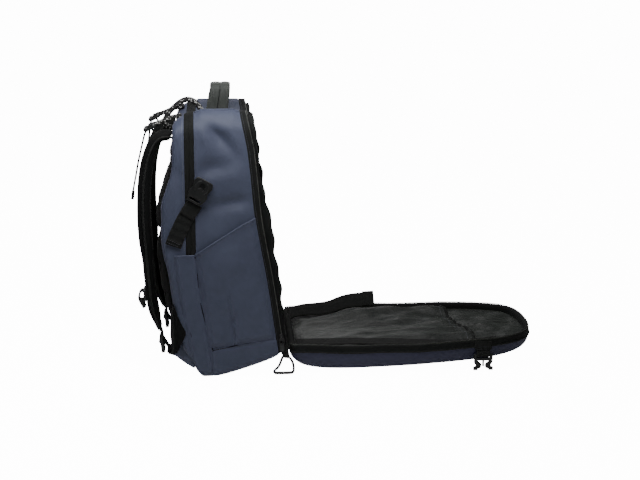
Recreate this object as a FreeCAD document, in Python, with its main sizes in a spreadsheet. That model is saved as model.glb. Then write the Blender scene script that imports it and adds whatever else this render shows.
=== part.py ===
import FreeCAD, Part
import math
import os
import Sketcher

# Soft travel backpack standing on its base with its full front panel folded down
# onto the ground. Millimetres, +Z up, +X from the wearer's back to the front panel's
# tip, near side is -Y. X is counted from the fold line of the front panel, and every
# placement carries origin_shift, which puts the row origin under the middle of the whole.

doc = FreeCAD.newDocument("solar_backpack")
V = FreeCAD.Vector
sheet = doc.addObject("Spreadsheet::Sheet", "Sheet")

SIZES = [
    ("origin_shift", -93.0),       # X of the fold line in the row frame
    ("half_width", 142.0),         # outer face of a side panel
    ("panel_thick", 4.0),          # padded side fabric
    ("base_thick", 4.0),
    ("back_thick", 5.0),
    ("side_top", 440.0),           # where the sides start to round over
    ("shoulder_z", 481.0),         # highest line of the side hoops
    ("crown_z", 463.0),            # top fabric sags between the hoops
    ("mouth_lean", 9.2),           # degrees the front opening leans back
    ("pivot_z", 50.0),             # fold line height
    ("seam_x", -166.0),            # rear edge of the main compartment
    ("zip_cover_w", 17.0),         # covered zipper of the laptop compartment
    ("zip_cover_low", 228.0),
    ("tape_w", 10.0),              # zipper tape of the main opening
    ("tape_thick", 5.0),
    ("webbing_w", 30.0),
    ("webbing_thick", 1.8),
    ("strap_w", 60.0),             # shoulder strap
    ("strap_y", 85.0),
    ("pocket_out", 151.0),         # outer face of a side pocket
    ("pocket_skin", 2.0),
    ("handle_w", 40.0),
    ("handle_top", 522.0),
    ("handle_half", 58.0),         # leg spacing, half
    ("handle_pivot_z", 478.0),
    ("rim_z", 54.0),               # rim of the opened front panel
    ("panel_len", 468.0),
    ("ring_wire", 3.0),
    ("cell_size", 70.0),
    ("laminate_len", 262.0),
    ("laminate_wid", 168.0),
    ("laminate_thick", 2.4),
    ("laminate_tilt", 2.2),
    ("buckle_thick", 8.0),
    ("haul_w", 13.0),
]
P = {}
for i, (alias, value) in enumerate(SIZES):
    cell = "B%d" % (i + 1)
    sheet.set("A%d" % (i + 1), alias)
    sheet.set(cell, str(value))
    sheet.setAlias(cell, alias)
    P[alias] = value
doc.recompute()

SH = P["origin_shift"]
LEAN = math.radians(P["mouth_lean"])
NODES = {}                          # label -> document object


def e(alias, k=1.0, c=0.0):
    """A size driven by the sheet: (value now, expression)."""
    return (P[alias] * k + c, "Sheet.%s * %g + %g" % (alias, k, c))


def num(v):
    return v[0] if isinstance(v, tuple) else float(v)


def bind(obj, prop, v):
    if isinstance(v, tuple):
        obj.setExpression(prop, v[1])


def place(obj, x=0.0, y=0.0, z=0.0, rot=None):
    """Placement of a sub-part: design X plus the origin shift."""
    obj.Placement = FreeCAD.Placement(
        V(num(x) + SH, num(y), num(z)), rot or FreeCAD.Rotation())
    cx = x[1] if isinstance(x, tuple) else "%g" % x
    obj.setExpression("Placement.Base.x", "Sheet.origin_shift + %s" % cx)
    bind(obj, "Placement.Base.y", y)
    bind(obj, "Placement.Base.z", z)


def origin_plane(body, role):
    return [f for f in body.Origin.OriginFeatures if f.Role == role][0]


def loop_sketch(body, name, role, loops, offset=0.0):
    """A sketch of closed polylines; each corner is dimensioned from the origin, so a
    corner given by e() follows the sheet."""
    sk = body.newObject("Sketcher::SketchObject", name)
    sk.AttachmentSupport = [(origin_plane(body, role), "")]
    sk.MapMode = "FlatFace"
    if offset:
        sk.AttachmentOffset = FreeCAD.Placement(V(0, 0, offset), FreeCAD.Rotation())
    for pts in loops:
        if isinstance(pts, dict):                     # a circle
            g = sk.addGeometry(Part.Circle(V(num(pts["x"]), num(pts["y"]), 0), V(0, 0, 1), num(pts["rad"])), False)
            k = sk.addConstraint(Sketcher.Constraint("DistanceX", -1, 1, g, 3, num(pts["x"])))
            bind(sk, "Constraints[%d]" % k, pts["x"])
            k = sk.addConstraint(Sketcher.Constraint("DistanceY", -1, 1, g, 3, num(pts["y"])))
            bind(sk, "Constraints[%d]" % k, pts["y"])
            k = sk.addConstraint(Sketcher.Constraint("Radius", g, num(pts["rad"])))
            bind(sk, "Constraints[%d]" % k, pts["rad"])
            continue
        n = len(pts)
        first = None
        for i in range(n):
            a, b = pts[i], pts[(i + 1) % n]
            g = sk.addGeometry(Part.LineSegment(V(num(a[0]), num(a[1]), 0), V(num(b[0]), num(b[1]), 0)), False)
            first = g if first is None else first
        for i in range(n):
            g = first + i
            nxt = first + (i + 1) % n
            sk.addConstraint(Sketcher.Constraint("Coincident", g, 2, nxt, 1))
            k = sk.addConstraint(Sketcher.Constraint("DistanceX", -1, 1, g, 1, num(pts[i][0])))
            bind(sk, "Constraints[%d]" % k, pts[i][0])
            k = sk.addConstraint(Sketcher.Constraint("DistanceY", -1, 1, g, 1, num(pts[i][1])))
            bind(sk, "Constraints[%d]" % k, pts[i][1])
    return sk


def pad(label, role, loops, length, x=0.0, y=0.0, z=0.0, rot=None, mid=False, rev=False, offset=0.0):
    """A body made by padding one sketch."""
    body = doc.addObject("PartDesign::Body", label)
    body.Label = label
    sk = loop_sketch(body, label + "_outline", role, loops, offset)
    p = body.newObject("PartDesign::Pad", label + "_pad")
    p.Profile = sk
    p.Length = num(length)
    bind(p, "Length", length)
    p.Midplane = mid
    p.Reversed = rev
    body.Tip = p
    place(body, x, y, z, rot)
    NODES[label] = body
    return body


def pocket(body, name, role, loops, depth, offset=0.0, rev=False, mid=False):
    """Cuts a sketch out of the body."""
    sk = loop_sketch(body, name + "_outline", role, loops, offset)
    p = body.newObject("PartDesign::Pocket", name)
    p.Profile = sk
    p.Length = num(depth)
    bind(p, "Length", depth)
    p.Reversed = rev
    p.Midplane = mid
    body.Tip = p
    return p


def round_edges(body, label, radius, pick):
    """Fillets the edges of the body that pick(edge) keeps."""
    doc.recompute()
    tip = body.Tip
    names = ["Edge%d" % (i + 1) for i, ed in enumerate(tip.Shape.Edges) if pick(ed)]
    f = body.newObject("PartDesign::Fillet", label)
    f.Base = (tip, names)
    f.Radius = num(radius)
    bind(f, "Radius", radius)
    body.Tip = f
    return f


def feature(label, shape, x=0.0, y=0.0, z=0.0, rot=None):
    """A sub-part whose form is a loft or a sweep, read from the sheet above."""
    o = doc.addObject("Part::Feature", label)
    o.Label = label
    o.Shape = shape
    place(o, x, y, z, rot)
    NODES[label] = o
    return o


def poly_face(pts):
    return Part.Face(Part.makePolygon(pts + [pts[0]]))


def prism_xz(pts, y0, y1):
    return poly_face([V(a, y0, b) for a, b in pts]).extrude(V(0, y1 - y0, 0))


def prism_xy(pts, z0, z1):
    return poly_face([V(a, b, z0) for a, b in pts]).extrude(V(0, 0, z1 - z0))


def box(x0, x1, y0, y1, z0, z1):
    return Part.makeBox(x1 - x0, y1 - y0, z1 - z0, V(x0, y0, z0))


def rod(a, b, r):
    d = b.sub(a)
    return Part.makeCylinder(r, d.Length, a, d)


def wire_ring(points, r):
    """A closed ring of round wire with ball corners."""
    s = None
    n = len(points)
    for i in range(n):
        c = rod(points[i], points[(i + 1) % n], r).fuse(Part.makeSphere(r, points[i]))
        s = c if s is None else s.fuse(c)
    return s


def twins(label, make, *more):
    """One sub-part of two alike pieces: the near one made by make(name), and its mirror
    image across the middle plane. more are further pieces of the same sub-part."""
    before = set(NODES)
    near = make(label + "_near")
    for n in set(NODES) - before:
        del NODES[n]
    other = doc.addObject("Part::Mirroring", label + "_mirror")
    other.Source = near
    other.Base = V(0, 0, 0)
    other.Normal = V(0, 1, 0)
    both = doc.addObject("Part::Compound", label)
    both.Label = label
    both.Links = [near, other] + list(more)
    NODES[label] = both
    return both


def far_twin(label, near):
    """The far one of a pair, as a mirror image of the near sub-part."""
    other = doc.addObject("Part::Mirroring", label)
    other.Label = label
    other.Source = near
    other.Base = V(0, 0, 0)
    other.Normal = V(0, 1, 0)
    NODES[label] = other
    return other


HW = P["half_width"]
TH = P["panel_thick"]
TL = math.tan(LEAN)
CL = math.cos(LEAN)


def rim_x(z, n):
    """Design X on the plane parallel to the opening, n ahead of the fold line."""
    return -(z - P["pivot_z"]) * TL + n / CL


# ------------------------------------------------------------------ outline of the bag
BASE_OUT = [(-166, 9), (-156, 0), (-134, 0), (-90, 12), (-53, 24), (-16, 39), (-12.2, 44)]
BACK_OUT = [(-190, 50), (-200, 80), (-204, 109), (-210, 147), (-216, 193), (-224, 228), (-227, 258),
            (-226, 285), (-225, 321), (-216, 348), (-206, 380), (-204, 430), (-203.5, 440)]
# half of the hoop over the top, (Y, Z), outer line from the side to the middle
ARCH = [(142.0, 440.0), (140.0, 454.0), (133.0, 467.0), (122.0, 476.0), (108.0, 481.0),
        (92.0, 479.0), (70.0, 472.5), (40.0, 465.5), (15.0, 463.2), (0.0, 463.0)]
ARCH_IN = [(138.0, 440.0), (136.2, 452.8), (130.0, 464.0), (120.2, 472.0), (107.8, 476.9),
           (93.0, 475.0), (71.0, 468.6), (40.6, 461.5), (15.2, 459.2), (0.0, 459.0)]


def arch_band(lift, legs_low=None, w_in=None):
    """Closed YZ outline of the hoop; lift is how far its outer line stands proud."""
    outer = [(y + (lift if y > 100 else 0.0), z + (0 if z < 441 else lift)) for y, z in ARCH]
    inner = list(w_in or ARCH_IN)
    if legs_low is not None:
        outer = [(outer[0][0], legs_low)] + outer
        inner = [(inner[0][0], legs_low)] + inner
    right = outer[:-1] + [(-y, z) for y, z in reversed(outer)]
    left = [(-y, z) for y, z in inner] + list(reversed(inner[:-1]))
    return right + left


# ------------------------------------------------------------------ side panels
side = [(e("seam_x"), 9), (-156, 0), (-134, 0), (-90, 12), (-53, 24), (-16, 39), (-12.2, 44), (-12.2, 50),
        (rim_x(440, -12), e("side_top")), (e("seam_x"), e("side_top"))]
pad("near_side_panel", "XZ_Plane", [side], e("panel_thick"), y=e("half_width", -1, P["panel_thick"]))
pad("far_side_panel", "XZ_Plane", [side], e("panel_thick"), y=e("half_width"))

gusset = [(-166, 9)] + BACK_OUT + [(e("seam_x", 1, -P["zip_cover_w"]), e("side_top")),
                                   (e("seam_x", 1, -P["zip_cover_w"]), e("zip_cover_low")),
                                   (e("seam_x"), e("zip_cover_low"))]
twins("laptop_gussets", lambda n: pad(n, "XZ_Plane", [gusset], e("panel_thick"), y=e("half_width", -1, P["panel_thick"])))

# covered zipper that runs up one side, over the top and down the other side
pad("laptop_zipper_cover", "YZ_Plane", [arch_band(1.5, e("zip_cover_low"))], e("zip_cover_w"),
    x=e("seam_x", 1, -P["zip_cover_w"]))

# top fabric in front of and behind that zipper
pad("top_panel", "YZ_Plane", [arch_band(0.0)], 84.0, x=e("seam_x"))
pad("top_laptop_gusset", "YZ_Plane", [arch_band(0.0)], 20.0, x=e("seam_x", 1, -P["zip_cover_w"] - 20.0))

# ------------------------------------------------------------------ base, back, divider
base = [(-190, 50)] + BASE_OUT[:-1] + [(-10, 41.6), (-12.6, 45.4), (-54.5, 27.9), (-91.2, 15.9), (-134.4, 4), (-154.4, 4),
                                       (-163.4, 12.2), (-185.0, 50)]
pad("base_panel", "XZ_Plane", [base], e("half_width", 2, -2 * P["panel_thick"]), mid=True)
pad("base_sag", "XZ_Plane", [[(-126, 0.0), (-64, 0.0), (-50, 9.0), (-40, 28.9), (-53, 23.7), (-90, 11.7)]], 200.0, mid=True)
back = BACK_OUT + [(x + 5.0, z) for x, z in reversed(BACK_OUT)]
pad("back_panel", "XZ_Plane", [back], e("half_width", 2, -2 * P["panel_thick"]), mid=True)
pad("divider_panel", "YZ_Plane",
    [[(-137.5, 31), (137.5, 31), (137.5, 438), (130, 455), (108, 468), (70, 462), (0, 456), (-70, 462), (-108, 468), (-130, 455), (-137.5, 438)]],
    4.0, x=-173.5)
pad("inner_organizer", "YZ_Plane", [[(-110, 130), (110, 130), (110, 320), (-110, 320)]], 2.0, x=-161.0)
ob = NODES["inner_organizer"]
# the organiser hangs off the divider on its bound edges
sk = loop_sketch(ob, "inner_organizer_edges_outline", "YZ_Plane",
                 [[(-110, 130), (110, 130), (110, 320), (107, 320), (107, 133), (-107, 133), (-107, 320), (-110, 320)]])
pe = ob.newObject("PartDesign::Pad", "inner_organizer_edges")
pe.Profile = sk
pe.Length = 8.5
pe.Reversed = True
ob.Tip = pe

# ------------------------------------------------------------------ main opening: tape and storm flap
# frame in the leaning plane: sketch x is Y, sketch y runs up the plane, pad along its normal
lean_rot = FreeCAD.Rotation(FreeCAD.Matrix(
    0, -math.sin(LEAN), math.cos(LEAN), 0,
    1, 0, 0, 0,
    0, math.cos(LEAN), math.sin(LEAN), 0,
    0, 0, 0, 1))


def up(z):
    return (z - P["pivot_z"]) / CL


def lean_pad(label, loops, n0, n1):
    o = pad(label, "XY_Plane", loops, n1 - n0, x=n0 * math.cos(LEAN), z=P["pivot_z"] + n0 * math.sin(LEAN), rot=lean_rot)
    return o


tape_out = [(141.8, 2.0)] + [(y - 0.2, up(z) - 0.5) for y, z in ARCH]
tape_in = [(132.0, 2.0), (132.0, up(440.0)), (130.2, up(449.5)), (125.5, up(458.5)), (117.5, up(465.5)), (107.0, up(470.2)),
           (94.0, up(469.0)), (72.0, up(462.8)), (41.0, up(455.6)), (15.2, up(453.3)), (0.0, up(453.0))]
tape = tape_out[:-1] + [(-y, u) for y, u in reversed(tape_out)] + [(-y, u) for y, u in tape_in] + list(reversed(tape_in[:-1]))
lean_pad("opening_zipper_tape", [tape], -12.0, -7.0)
storm_out = tape_in[1:]
storm_in = [(129.4, up(440.0)), (127.7, up(448.6)), (123.3, up(456.6)), (116.2, up(463.0)), (106.6, up(467.5)),
            (94.4, up(466.3)), (72.6, up(460.0)), (41.3, up(452.8)), (15.3, up(450.5)), (0.0, up(450.2))]
so = [(132.0, 302.0)] + storm_out
si = [(129.4, 302.0)] + storm_in
storm = so[:-1] + [(-y, u) for y, u in reversed(so)] + [(-y, u) for y, u in si] + list(reversed(si[:-1]))
storm_top = lean_pad("storm_flap_top", [storm], -12.0, -6.0)
del NODES["storm_flap_top"]
twins("storm_flap", lambda n: lean_pad(n, [[(-132.0, 30.0), (-132.0, 300.0), (-129.4, 296.0), (-129.4, 34.0)]], -12.0, 5.0), storm_top)

# soft fold that joins the bag's lower front edge to the front panel
pad("fold_piping", "XZ_Plane", [{"x": -2.0, "y": e("pivot_z", 1, -2.0), "rad": 2.2}], 250.0, mid=True)

# ------------------------------------------------------------------ side pockets
pk = [(-164, 60), (-142, 58), (rim_x(72, -21), 73), (rim_x(292, -21), 292), (-164, 229)]
pk_in = [(-161, 63), (-142, 61.2), (rim_x(72, -24), 76), (rim_x(292, -24), 330), (-161, 330)]


def side_pocket(name):
    o = pad(name, "XZ_Plane", [pk], 9.0, y=(-HW, "-Sheet.half_width"))
    pocket(o, name + "_hollow", "XZ_Plane", [pk_in], 7.0, rev=True)     # open along the slanted top
    return o


twins("side_pockets", side_pocket)

# ------------------------------------------------------------------ back pads
def back_x(z):
    """Outer face of the back panel at a height."""
    for (x0, z0), (x1, z1) in zip(BACK_OUT, BACK_OUT[1:]):
        if z0 <= z <= z1:
            return x0 + (x1 - x0) * (z - z0) / (z1 - z0)


def on_back(z0, z1):
    return [(back_x(z0), z0)] + [p for p in BACK_OUT if z0 < p[1] < z1] + [(back_x(z1), z1)]


twins("back_pads", lambda n: pad(n, "XZ_Plane", [[(-208.5, 428), (-211.5, 420), (-212, 385), (-222, 355), (-232, 328), (-237, 300),
                                                  (-236, 276)] + on_back(268, 428)], 78.0, y=-42.0))
pad("lumbar_pad", "XZ_Plane", [list(reversed([(-230.5, 257), (-236, 248), (-236, 226), (-228, 190), (-219, 150), (-213, 112), (-205, 93)]))
                               + list(reversed(on_back(90, 256)))], 240.0, mid=True)

# ------------------------------------------------------------------ shoulder straps and their fittings
strap = [(-204.5, 447), (-222, 445), (-240, 432), (-254, 402), (-262, 373), (-265.5, 337), (-267, 282), (-258, 125), (-251, 106), (-241, 88),
         (-228.5, 93), (-236.5, 112), (-243, 135), (-251, 282), (-249.5, 337), (-246.5, 370), (-240, 394), (-229, 416), (-218, 428), (-204.5, 430)]
lower = [(-236.4, 89.0), (-234.8, 89.4), (-231.6, 67.6), (-233.2, 67.4)]
ladder = [(-238.5, 66.0), (-226.5, 67.0), (-226.0, 33.0), (-238.5, 32.0)]
ladder_slots = [[(-236.2, 63.5), (-228.6, 64.2), (-228.4, 57.0), (-236.2, 56.5)],
                [(-236.2, 52.0), (-228.3, 52.6), (-228.2, 36.5), (-236.2, 36.0)]]
wing = [(-201.8, 86), (-216, 44), (-208, 20), (-180, 22), (-191.0, 49.6), (-201.2, 79.6)]
SY = P["strap_y"]
twins("shoulder_straps", lambda n: pad(n, "XZ_Plane", [strap], e("strap_w"), y=e("strap_y", -1, 30)))
twins("lower_webbing", lambda n: pad(n, "XZ_Plane", [lower], 25.0, y=e("strap_y", -1, 12.5)))


def ladder_buckle(name):
    o = pad(name, "XZ_Plane", [ladder], 31.0, y=e("strap_y", -1, 15.5))
    pocket(o, name + "_slots", "XZ_Plane", ladder_slots, 25.0, offset=3.0, rev=True)
    return o


twins("ladder_buckles", ladder_buckle)
twins("strap_wings", lambda n: pad(n, "XZ_Plane", [wing], 3.0, y=-102.5))
# short webbing that ties each wing to its buckle
twins("wing_webbing", lambda n: pad(n, "XZ_Plane", [[(-225.6, 43.0), (-215.4, 43.6), (-213.6, 37.0), (-225.5, 36.0)]], 22.4, y=-80.0))
# load lifters: webbing from the straps' tops to the hoop, its buckle and its loose tail
twins("load_lifters", lambda n: pad(n, "XZ_Plane", [[(-235.8, 454.6), (-235.0, 453.0), (-203.3, 467.4), (-203.3, 469.4)]], 20.0, y=-68.0))
twins("lifter_buckles", lambda n: pad(n, "XZ_Plane", [[(-253.0, 449.0), (-238.5, 456.5), (-236.0, 452.0), (-250.6, 444.5)]], 26.0, y=-65.0))
far_tail = pad("lifter_tail_far", "XZ_Plane", [[(-250.9, 444.0), (-252.2, 444.2), (-256.6, 420.0), (-258.4, 402.0), (-264.8, 373.0), (-268.0, 337.0), (-268.9, 318.0),
                                                (-267.7, 318.0), (-266.7, 337.0), (-263.4, 373.6), (-256.6, 402.6), (-254.8, 420.0)]], 12.0, y=84.0)
near_tail = pad("lifter_tail_near", "XZ_Plane", [[(-251.2, 443.9), (-252.8, 444.4), (-267.4, 391.0), (-281.0, 330.0), (-280.4, 322.0),
                                                  (-276.4, 322.4), (-277.2, 330.0), (-265.8, 390.6)]], 12.0, y=-72.0)
tails = doc.addObject("Part::Compound", "lifter_tails")
tails.Label = "lifter_tails"
tails.Links = [near_tail, far_tail]
for n in ("lifter_tail_far", "lifter_tail_near"):
    del NODES[n]
NODES["lifter_tails"] = tails
# speckled braided strap that arches from the harness over the back edge to the top
haul_out = [(-207.0, 447.2), (-220.5, 447.2), (-222.5, 460.0), (-208.0, 483.0), (-193.0, 496.0), (-179.0, 501.5), (-168.0, 498.5), (-158.0, 490.0),
            (-152.0, 481.0), (-149.0, 472.0)]
haul_in = [(-153.0, 471.5), (-155.5, 480.5), (-160.5, 487.2), (-169.5, 494.4), (-178.9, 497.2), (-191.0, 492.3), (-204.8, 480.4), (-218.2, 459.5),
           (-216.4, 450.2), (-207.0, 449.2)]
pad("haul_strap", "XZ_Plane", [haul_out + haul_in], e("haul_w"), y=-40.0)

# ------------------------------------------------------------------ chest strap halves, riding on the shoulder straps
sl_ang = math.degrees(math.atan2(9.0, 157.0))
sl_rot = FreeCAD.Rotation(V(0, 1, 0), -sl_ang)
# plate frame: x out of the strap is -X, y across, z along the strap
sp = pad("near_chest_slider", "XZ_Plane", [[(-4.6, 0.0), (-0.6, 0.0), (-0.6, 24.0), (-4.6, 24.0)]], 34.0,
         x=-258.6, y=e("strap_y", -1, 17), z=132.0, rot=sl_rot)
far_twin("far_chest_slider", sp)
sp = pad("near_chest_buckle", "XZ_Plane",
         [[(-4.8, 3.0), (-4.8, 21.0), (-10.0, 19.0), (-15.5, 6.0), (-11.5, -9.0), (-7.5, -16.0), (-4.8, -14.0)]], 22.0,
         x=-258.6, y=e("strap_y", -1, 11), z=132.0, rot=sl_rot)
far_twin("far_chest_buckle", sp)

# ------------------------------------------------------------------ top handle
hh = P["handle_half"]
hz = P["handle_pivot_z"]
ht = P["handle_top"]
outer = [(-hh - 3.0, 10.0), (-hh - 3.0, ht - hz - 9.0), (-hh + 8.0, ht - hz - 1.0), (-hh + 22.0, ht - hz), (hh - 22.0, ht - hz),
         (hh - 8.0, ht - hz - 1.0), (hh + 3.0, ht - hz - 9.0), (hh + 3.0, 10.0)]
inner = [(hh, 10.0), (hh, ht - hz - 14.0), (hh - 10.0, ht - hz - 7.8), (-hh + 10.0, ht - hz - 7.8), (-hh, ht - hz - 14.0), (-hh, 10.0)]
handle = pad("top_handle", "YZ_Plane", [outer + inner], e("handle_w"), x=-124.5, z=e("handle_pivot_z"), mid=True)
# narrow feet below the grip, rounded about the fold axis
for sgn, side_name in ((-1, "near"), (1, "far")):
    foot = loop_sketch(handle, "handle_foot_" + side_name, "XZ_Plane",
                       [[(-6.5, -2.0), (-4.5, -5.0), (0.0, -6.5), (4.5, -5.0), (6.5, -2.0), (8.5, 4.0), (16.0, 10.0), (-16.0, 10.0), (-8.5, 4.0)]],
                       offset=(hh if sgn < 0 else -hh - 3.0))
    fp = handle.newObject("PartDesign::Pad", "handle_foot_pad_" + side_name)
    fp.Profile = foot
    fp.Length = 3.0
    handle.Tip = fp
# low patches sewn to the top fabric beside the feet
twins("handle_anchors", lambda n: pad(n, "XZ_Plane", [[(-14, 0), (14, 0), (14, 5.5), (-14, 5.5)]], 2.4, x=-124.5, y=-64.2, z=471.8))

# ------------------------------------------------------------------ ring tabs and rings at the lower front corners
rw = P["ring_wire"] / 2.0


def ring_tab(name):
    o = pad(name, "YZ_Plane", [[(-3.4, 0.0), (3.4, 0.0), (3.4, 12.0), (-3.4, 12.0)]], 13.0, x=-12.0, y=-145.6, z=34.0)
    pocket(o, name + "_slot", "YZ_Plane", [[(-2.3, 1.0), (2.3, 1.0), (2.3, 5.6), (-2.3, 5.6)]], 13.0, rev=True)
    return o


twins("ring_tabs", ring_tab)
ring = wire_ring([V(-14.5, 0, 0), V(4.0, 0, 0), V(9.0, 0, -32.0), V(-27.0, 0, -32.0)], rw)
far_twin("far_ring", feature("near_ring", ring, x=0.0, y=-145.6, z=37.3))

# ------------------------------------------------------------------ side compression webbing and socket buckles
tilt = 17.0
w_out = [(-218, 252), (-205, 246), (-192, 240), (-184, 262), (-169, 297), (-157, 313), (-153.5, 317), (-163, 320.2), (-183, 326), (-190, 314)]
twins("compression_webbing", lambda n: pad(n, "XZ_Plane", [w_out], e("webbing_thick"), y=-144.6))
# buckle frame: z along the buckle towards its mouth, x across, y through
bk = pad("near_socket_buckle", "XZ_Plane",
         [[(-12, -6), (12, -6), (15, 0), (18, 8), (18, 34), (14, 40), (-14, 40), (-18, 34), (-18, 8), (-15, 0)]], e("buckle_thick"),
         x=-162.0, y=-147.0, z=329.0, rot=FreeCAD.Rotation(V(0, 1, 0), tilt))
pocket(bk, "near_socket", "XY_Plane", [[(-12.5, -6.6), (12.5, -6.6), (12.5, -1.4), (-12.5, -1.4)]], 26.0, offset=40.0)
far_twin("far_socket_buckle", bk)

# ------------------------------------------------------------------ main zipper sliders and pulls
# slider frame: x = 0 is its front face, z runs up the zipper, -y points out of the bag's side
sl = box(-6.2, 0.0, -1.6, 1.6, 0, 14)
sl = sl.fuse(box(-4.4, -1.8, -5.6, -1.6, 1.0, 2.4)).fuse(box(-4.4, -1.8, -5.6, -1.6, 8.6, 10.0)).fuse(box(-4.4, -1.8, -5.6, -4.6, 1.0, 10.0))
SLZ = 66.0
near_sl = feature("near_zipper_slider", sl, x=rim_x(SLZ, -6.3), y=-144.0, z=SLZ, rot=FreeCAD.Rotation(V(0, 1, 0), -P["mouth_lean"]))
far_twin("far_zipper_slider", near_sl)
# the pull's bar runs through the slider's arch
px = rim_x(SLZ, -6.3) - 3.1 * math.cos(LEAN) - 5.5 * math.sin(LEAN)
pz = SLZ + 5.5 * math.cos(LEAN) - 3.1 * math.sin(LEAN)
pl = rod(V(-4.2, 0, 0), V(4.2, 0, 0), 0.9)
pl = pl.fuse(box(-4.2, -2.6, -0.9, 0.9, -9.5, 0.0)).fuse(box(2.6, 4.2, -0.9, 0.9, -9.5, 0.0)).fuse(box(-4.2, 4.2, -1.2, 1.2, -24.0, -8.5))
near_pl = feature("near_zipper_pull", pl, x=px, y=-147.2, z=pz)
far_twin("far_zipper_pull", near_pl)
print("pull pivot x %.3f z %.3f" % (px, pz))

# laptop zipper slider and pull on the far side, above the compression webbing
feature("laptop_zipper_slider", box(-3.5, 3.5, 0.0, 3.0, 0.0, 13.0), x=-178.0, y=143.9, z=369.0)
feature("laptop_zipper_pull", box(-2.6, 2.6, 0.0, 1.6, -22.0, 0.0), x=-178.0, y=147.7, z=378.0)

# ------------------------------------------------------------------ front panel, open on the ground
RZ = P["rim_z"]
RIM = [(3, 134.0), (20, 136.5), (50, 140.5), (100, 145.0), (150, 148.0), (200, 149.0), (250, 147.5), (300, 143.5), (345, 138.5),
       (380, 132.0), (405, 125.0), (427, 115.0), (444, 101.0), (456, 84.0), (464, 60.0), (467.5, 30.0)]


def rim_loop(f, zf):
    """f(x, y) -> (x, y) moves a rim point; zf(x) its height."""
    pts = []
    for x, w in RIM:
        a, b = f(x, w)
        pts.append(V(a, -b, zf(a)))
    for x, w in reversed(RIM):
        a, b = f(x, w)
        pts.append(V(a, b, zf(a)))
    return Part.makePolygon(pts + [pts[0]])


TLT = math.tan(math.radians(P["laminate_tilt"]))


def low(x):
    """Height of the outer face of the shell above the ground."""
    return 4.2 + (x - 88.0) * TLT


def scaled(x0, x1, k):
    """Loop squeezed between x0 and x1 along X, and to k across."""
    def f(x, w):
        t = (x - 3.0) / 464.5
        return (x0 + (x1 - x0) * t, w * k)
    return f


outer_shell = Part.makeLoft([rim_loop(scaled(3.0, 467.5, 1.0), lambda x: RZ - 12.4),
                             rim_loop(scaled(5.0, 465.0, 0.985), lambda x: 34.0),
                             rim_loop(scaled(42.0, 408.0, 0.80), lambda x: low(x) + 0.0)], True, True)
inner_shell = Part.makeLoft([rim_loop(scaled(6.0, 464.5, 0.978), lambda x: RZ - 12.3),
                             rim_loop(scaled(8.5, 461.0, 0.962), lambda x: 36.0),
                             rim_loop(scaled(45.0, 404.0, 0.775), lambda x: low(x) + 3.2)], True, True)
feature("front_panel_shell", outer_shell.cut(inner_shell))
tape_o = rim_loop(scaled(3.0, 467.5, 1.0), lambda x: RZ - 12.2)
tape_i = rim_loop(scaled(6.0, 464.5, 0.978), lambda x: RZ - 12.2)
feature("front_panel_zipper_tape", Part.Face(tape_o).extrude(V(0, 0, 12.2)).cut(Part.Face(tape_i).extrude(V(0, 0, 12.2))))
lin_o = Part.makeLoft([rim_loop(scaled(8.9, 460.5, 0.958), lambda x: 38.0), rim_loop(scaled(46.0, 403.0, 0.772), lambda x: low(x) + 3.6)], True, True)
lin_i = Part.makeLoft([rim_loop(scaled(10.4, 459.0, 0.947), lambda x: 38.1), rim_loop(scaled(47.5, 401.0, 0.760), lambda x: low(x) + 5.4)], True, True)
feature("front_panel_lining", lin_o.cut(lin_i))

# inside pocket: a flat pouch open towards the tip, with a bound and gathered hem
def pouch(x, z0, z1, w0, w1):
    return [V(x, -w0, z0), V(x, w0, z0), V(x, w1, z1), V(x, -w1, z1), V(x, -w0, z0)]


po = Part.makeLoft([Part.makePolygon(pouch(52, 9.6, 36.0, 98, 110)), Part.makePolygon(pouch(180, 13.6, 43.0, 103, 118)), Part.makePolygon(pouch(322, 19.0, 44.0, 99, 112))], True, True)
pi = Part.makeLoft([Part.makePolygon(pouch(54, 11.0, 34.0, 96, 107)), Part.makePolygon(pouch(180, 15.0, 41.0, 101, 115)), Part.makePolygon(pouch(323, 20.4, 42.0, 97, 109))], True, True)
feature("inner_pocket", po.cut(pi))
hem = Part.makeLoft([Part.makePolygon(pouch(322.1, 41.8, 44.2, 110, 110)), Part.makePolygon(pouch(330.0, 41.8, 44.2, 110, 110))], True, True)
feature("inner_pocket_hem", hem)

# the two inside straps
pad("near_inner_strap", "XY_Plane", [[(14, -121.5), (120, -126), (240, -127), (330, -122), (396, -104), (392, -90), (328, -104), (240, -108), (120, -107), (14, -104)]],
    2.4, z=45.4)
pad("far_inner_strap", "XZ_Plane", [[(16, 46.5), (60, 52.0), (110, 60.0), (152, 67.0), (152, 69.4), (110, 62.4), (60, 54.4), (16, 48.8)]], 34.0, y=104.0)

# ------------------------------------------------------------------ solar panel on the outer face
tr = FreeCAD.Rotation(V(0, 1, 0), -P["laminate_tilt"])
lam = P["laminate_len"]
lw = P["laminate_wid"] / 2.0
# local frame: x along the panel from its lower end, y across, z up; its outer face is z = 0
pad("solar_border", "XY_Plane", [[(0, -lw - 12), (lam + 20, -lw - 12), (lam + 20, lw + 12), (0, lw + 12)],
                                 [(10, -lw), (lam + 10, -lw), (lam + 10, lw), (10, lw)]],
    2.9, x=78.0, z=0.35, rot=tr)
lamb = pad("solar_laminate", "XY_Plane", [[(0.3, 0.3 - lw), (e("laminate_len", 1, -0.3), 0.3 - lw), (e("laminate_len", 1, -0.3), lw - 0.3), (0.3, lw - 0.3)]],
           2.0, x=78.0 + 10.0 * math.cos(math.radians(P["laminate_tilt"])) - 0.9 * math.sin(math.radians(P["laminate_tilt"])),
           z=0.35 + 10.0 * math.sin(math.radians(P["laminate_tilt"])) + 0.9, rot=tr)
cells = None
cs = P["cell_size"]
cell = doc.addObject("PartDesign::Body", "solar_cells")
cell.Label = "solar_cells"
loops = []
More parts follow.
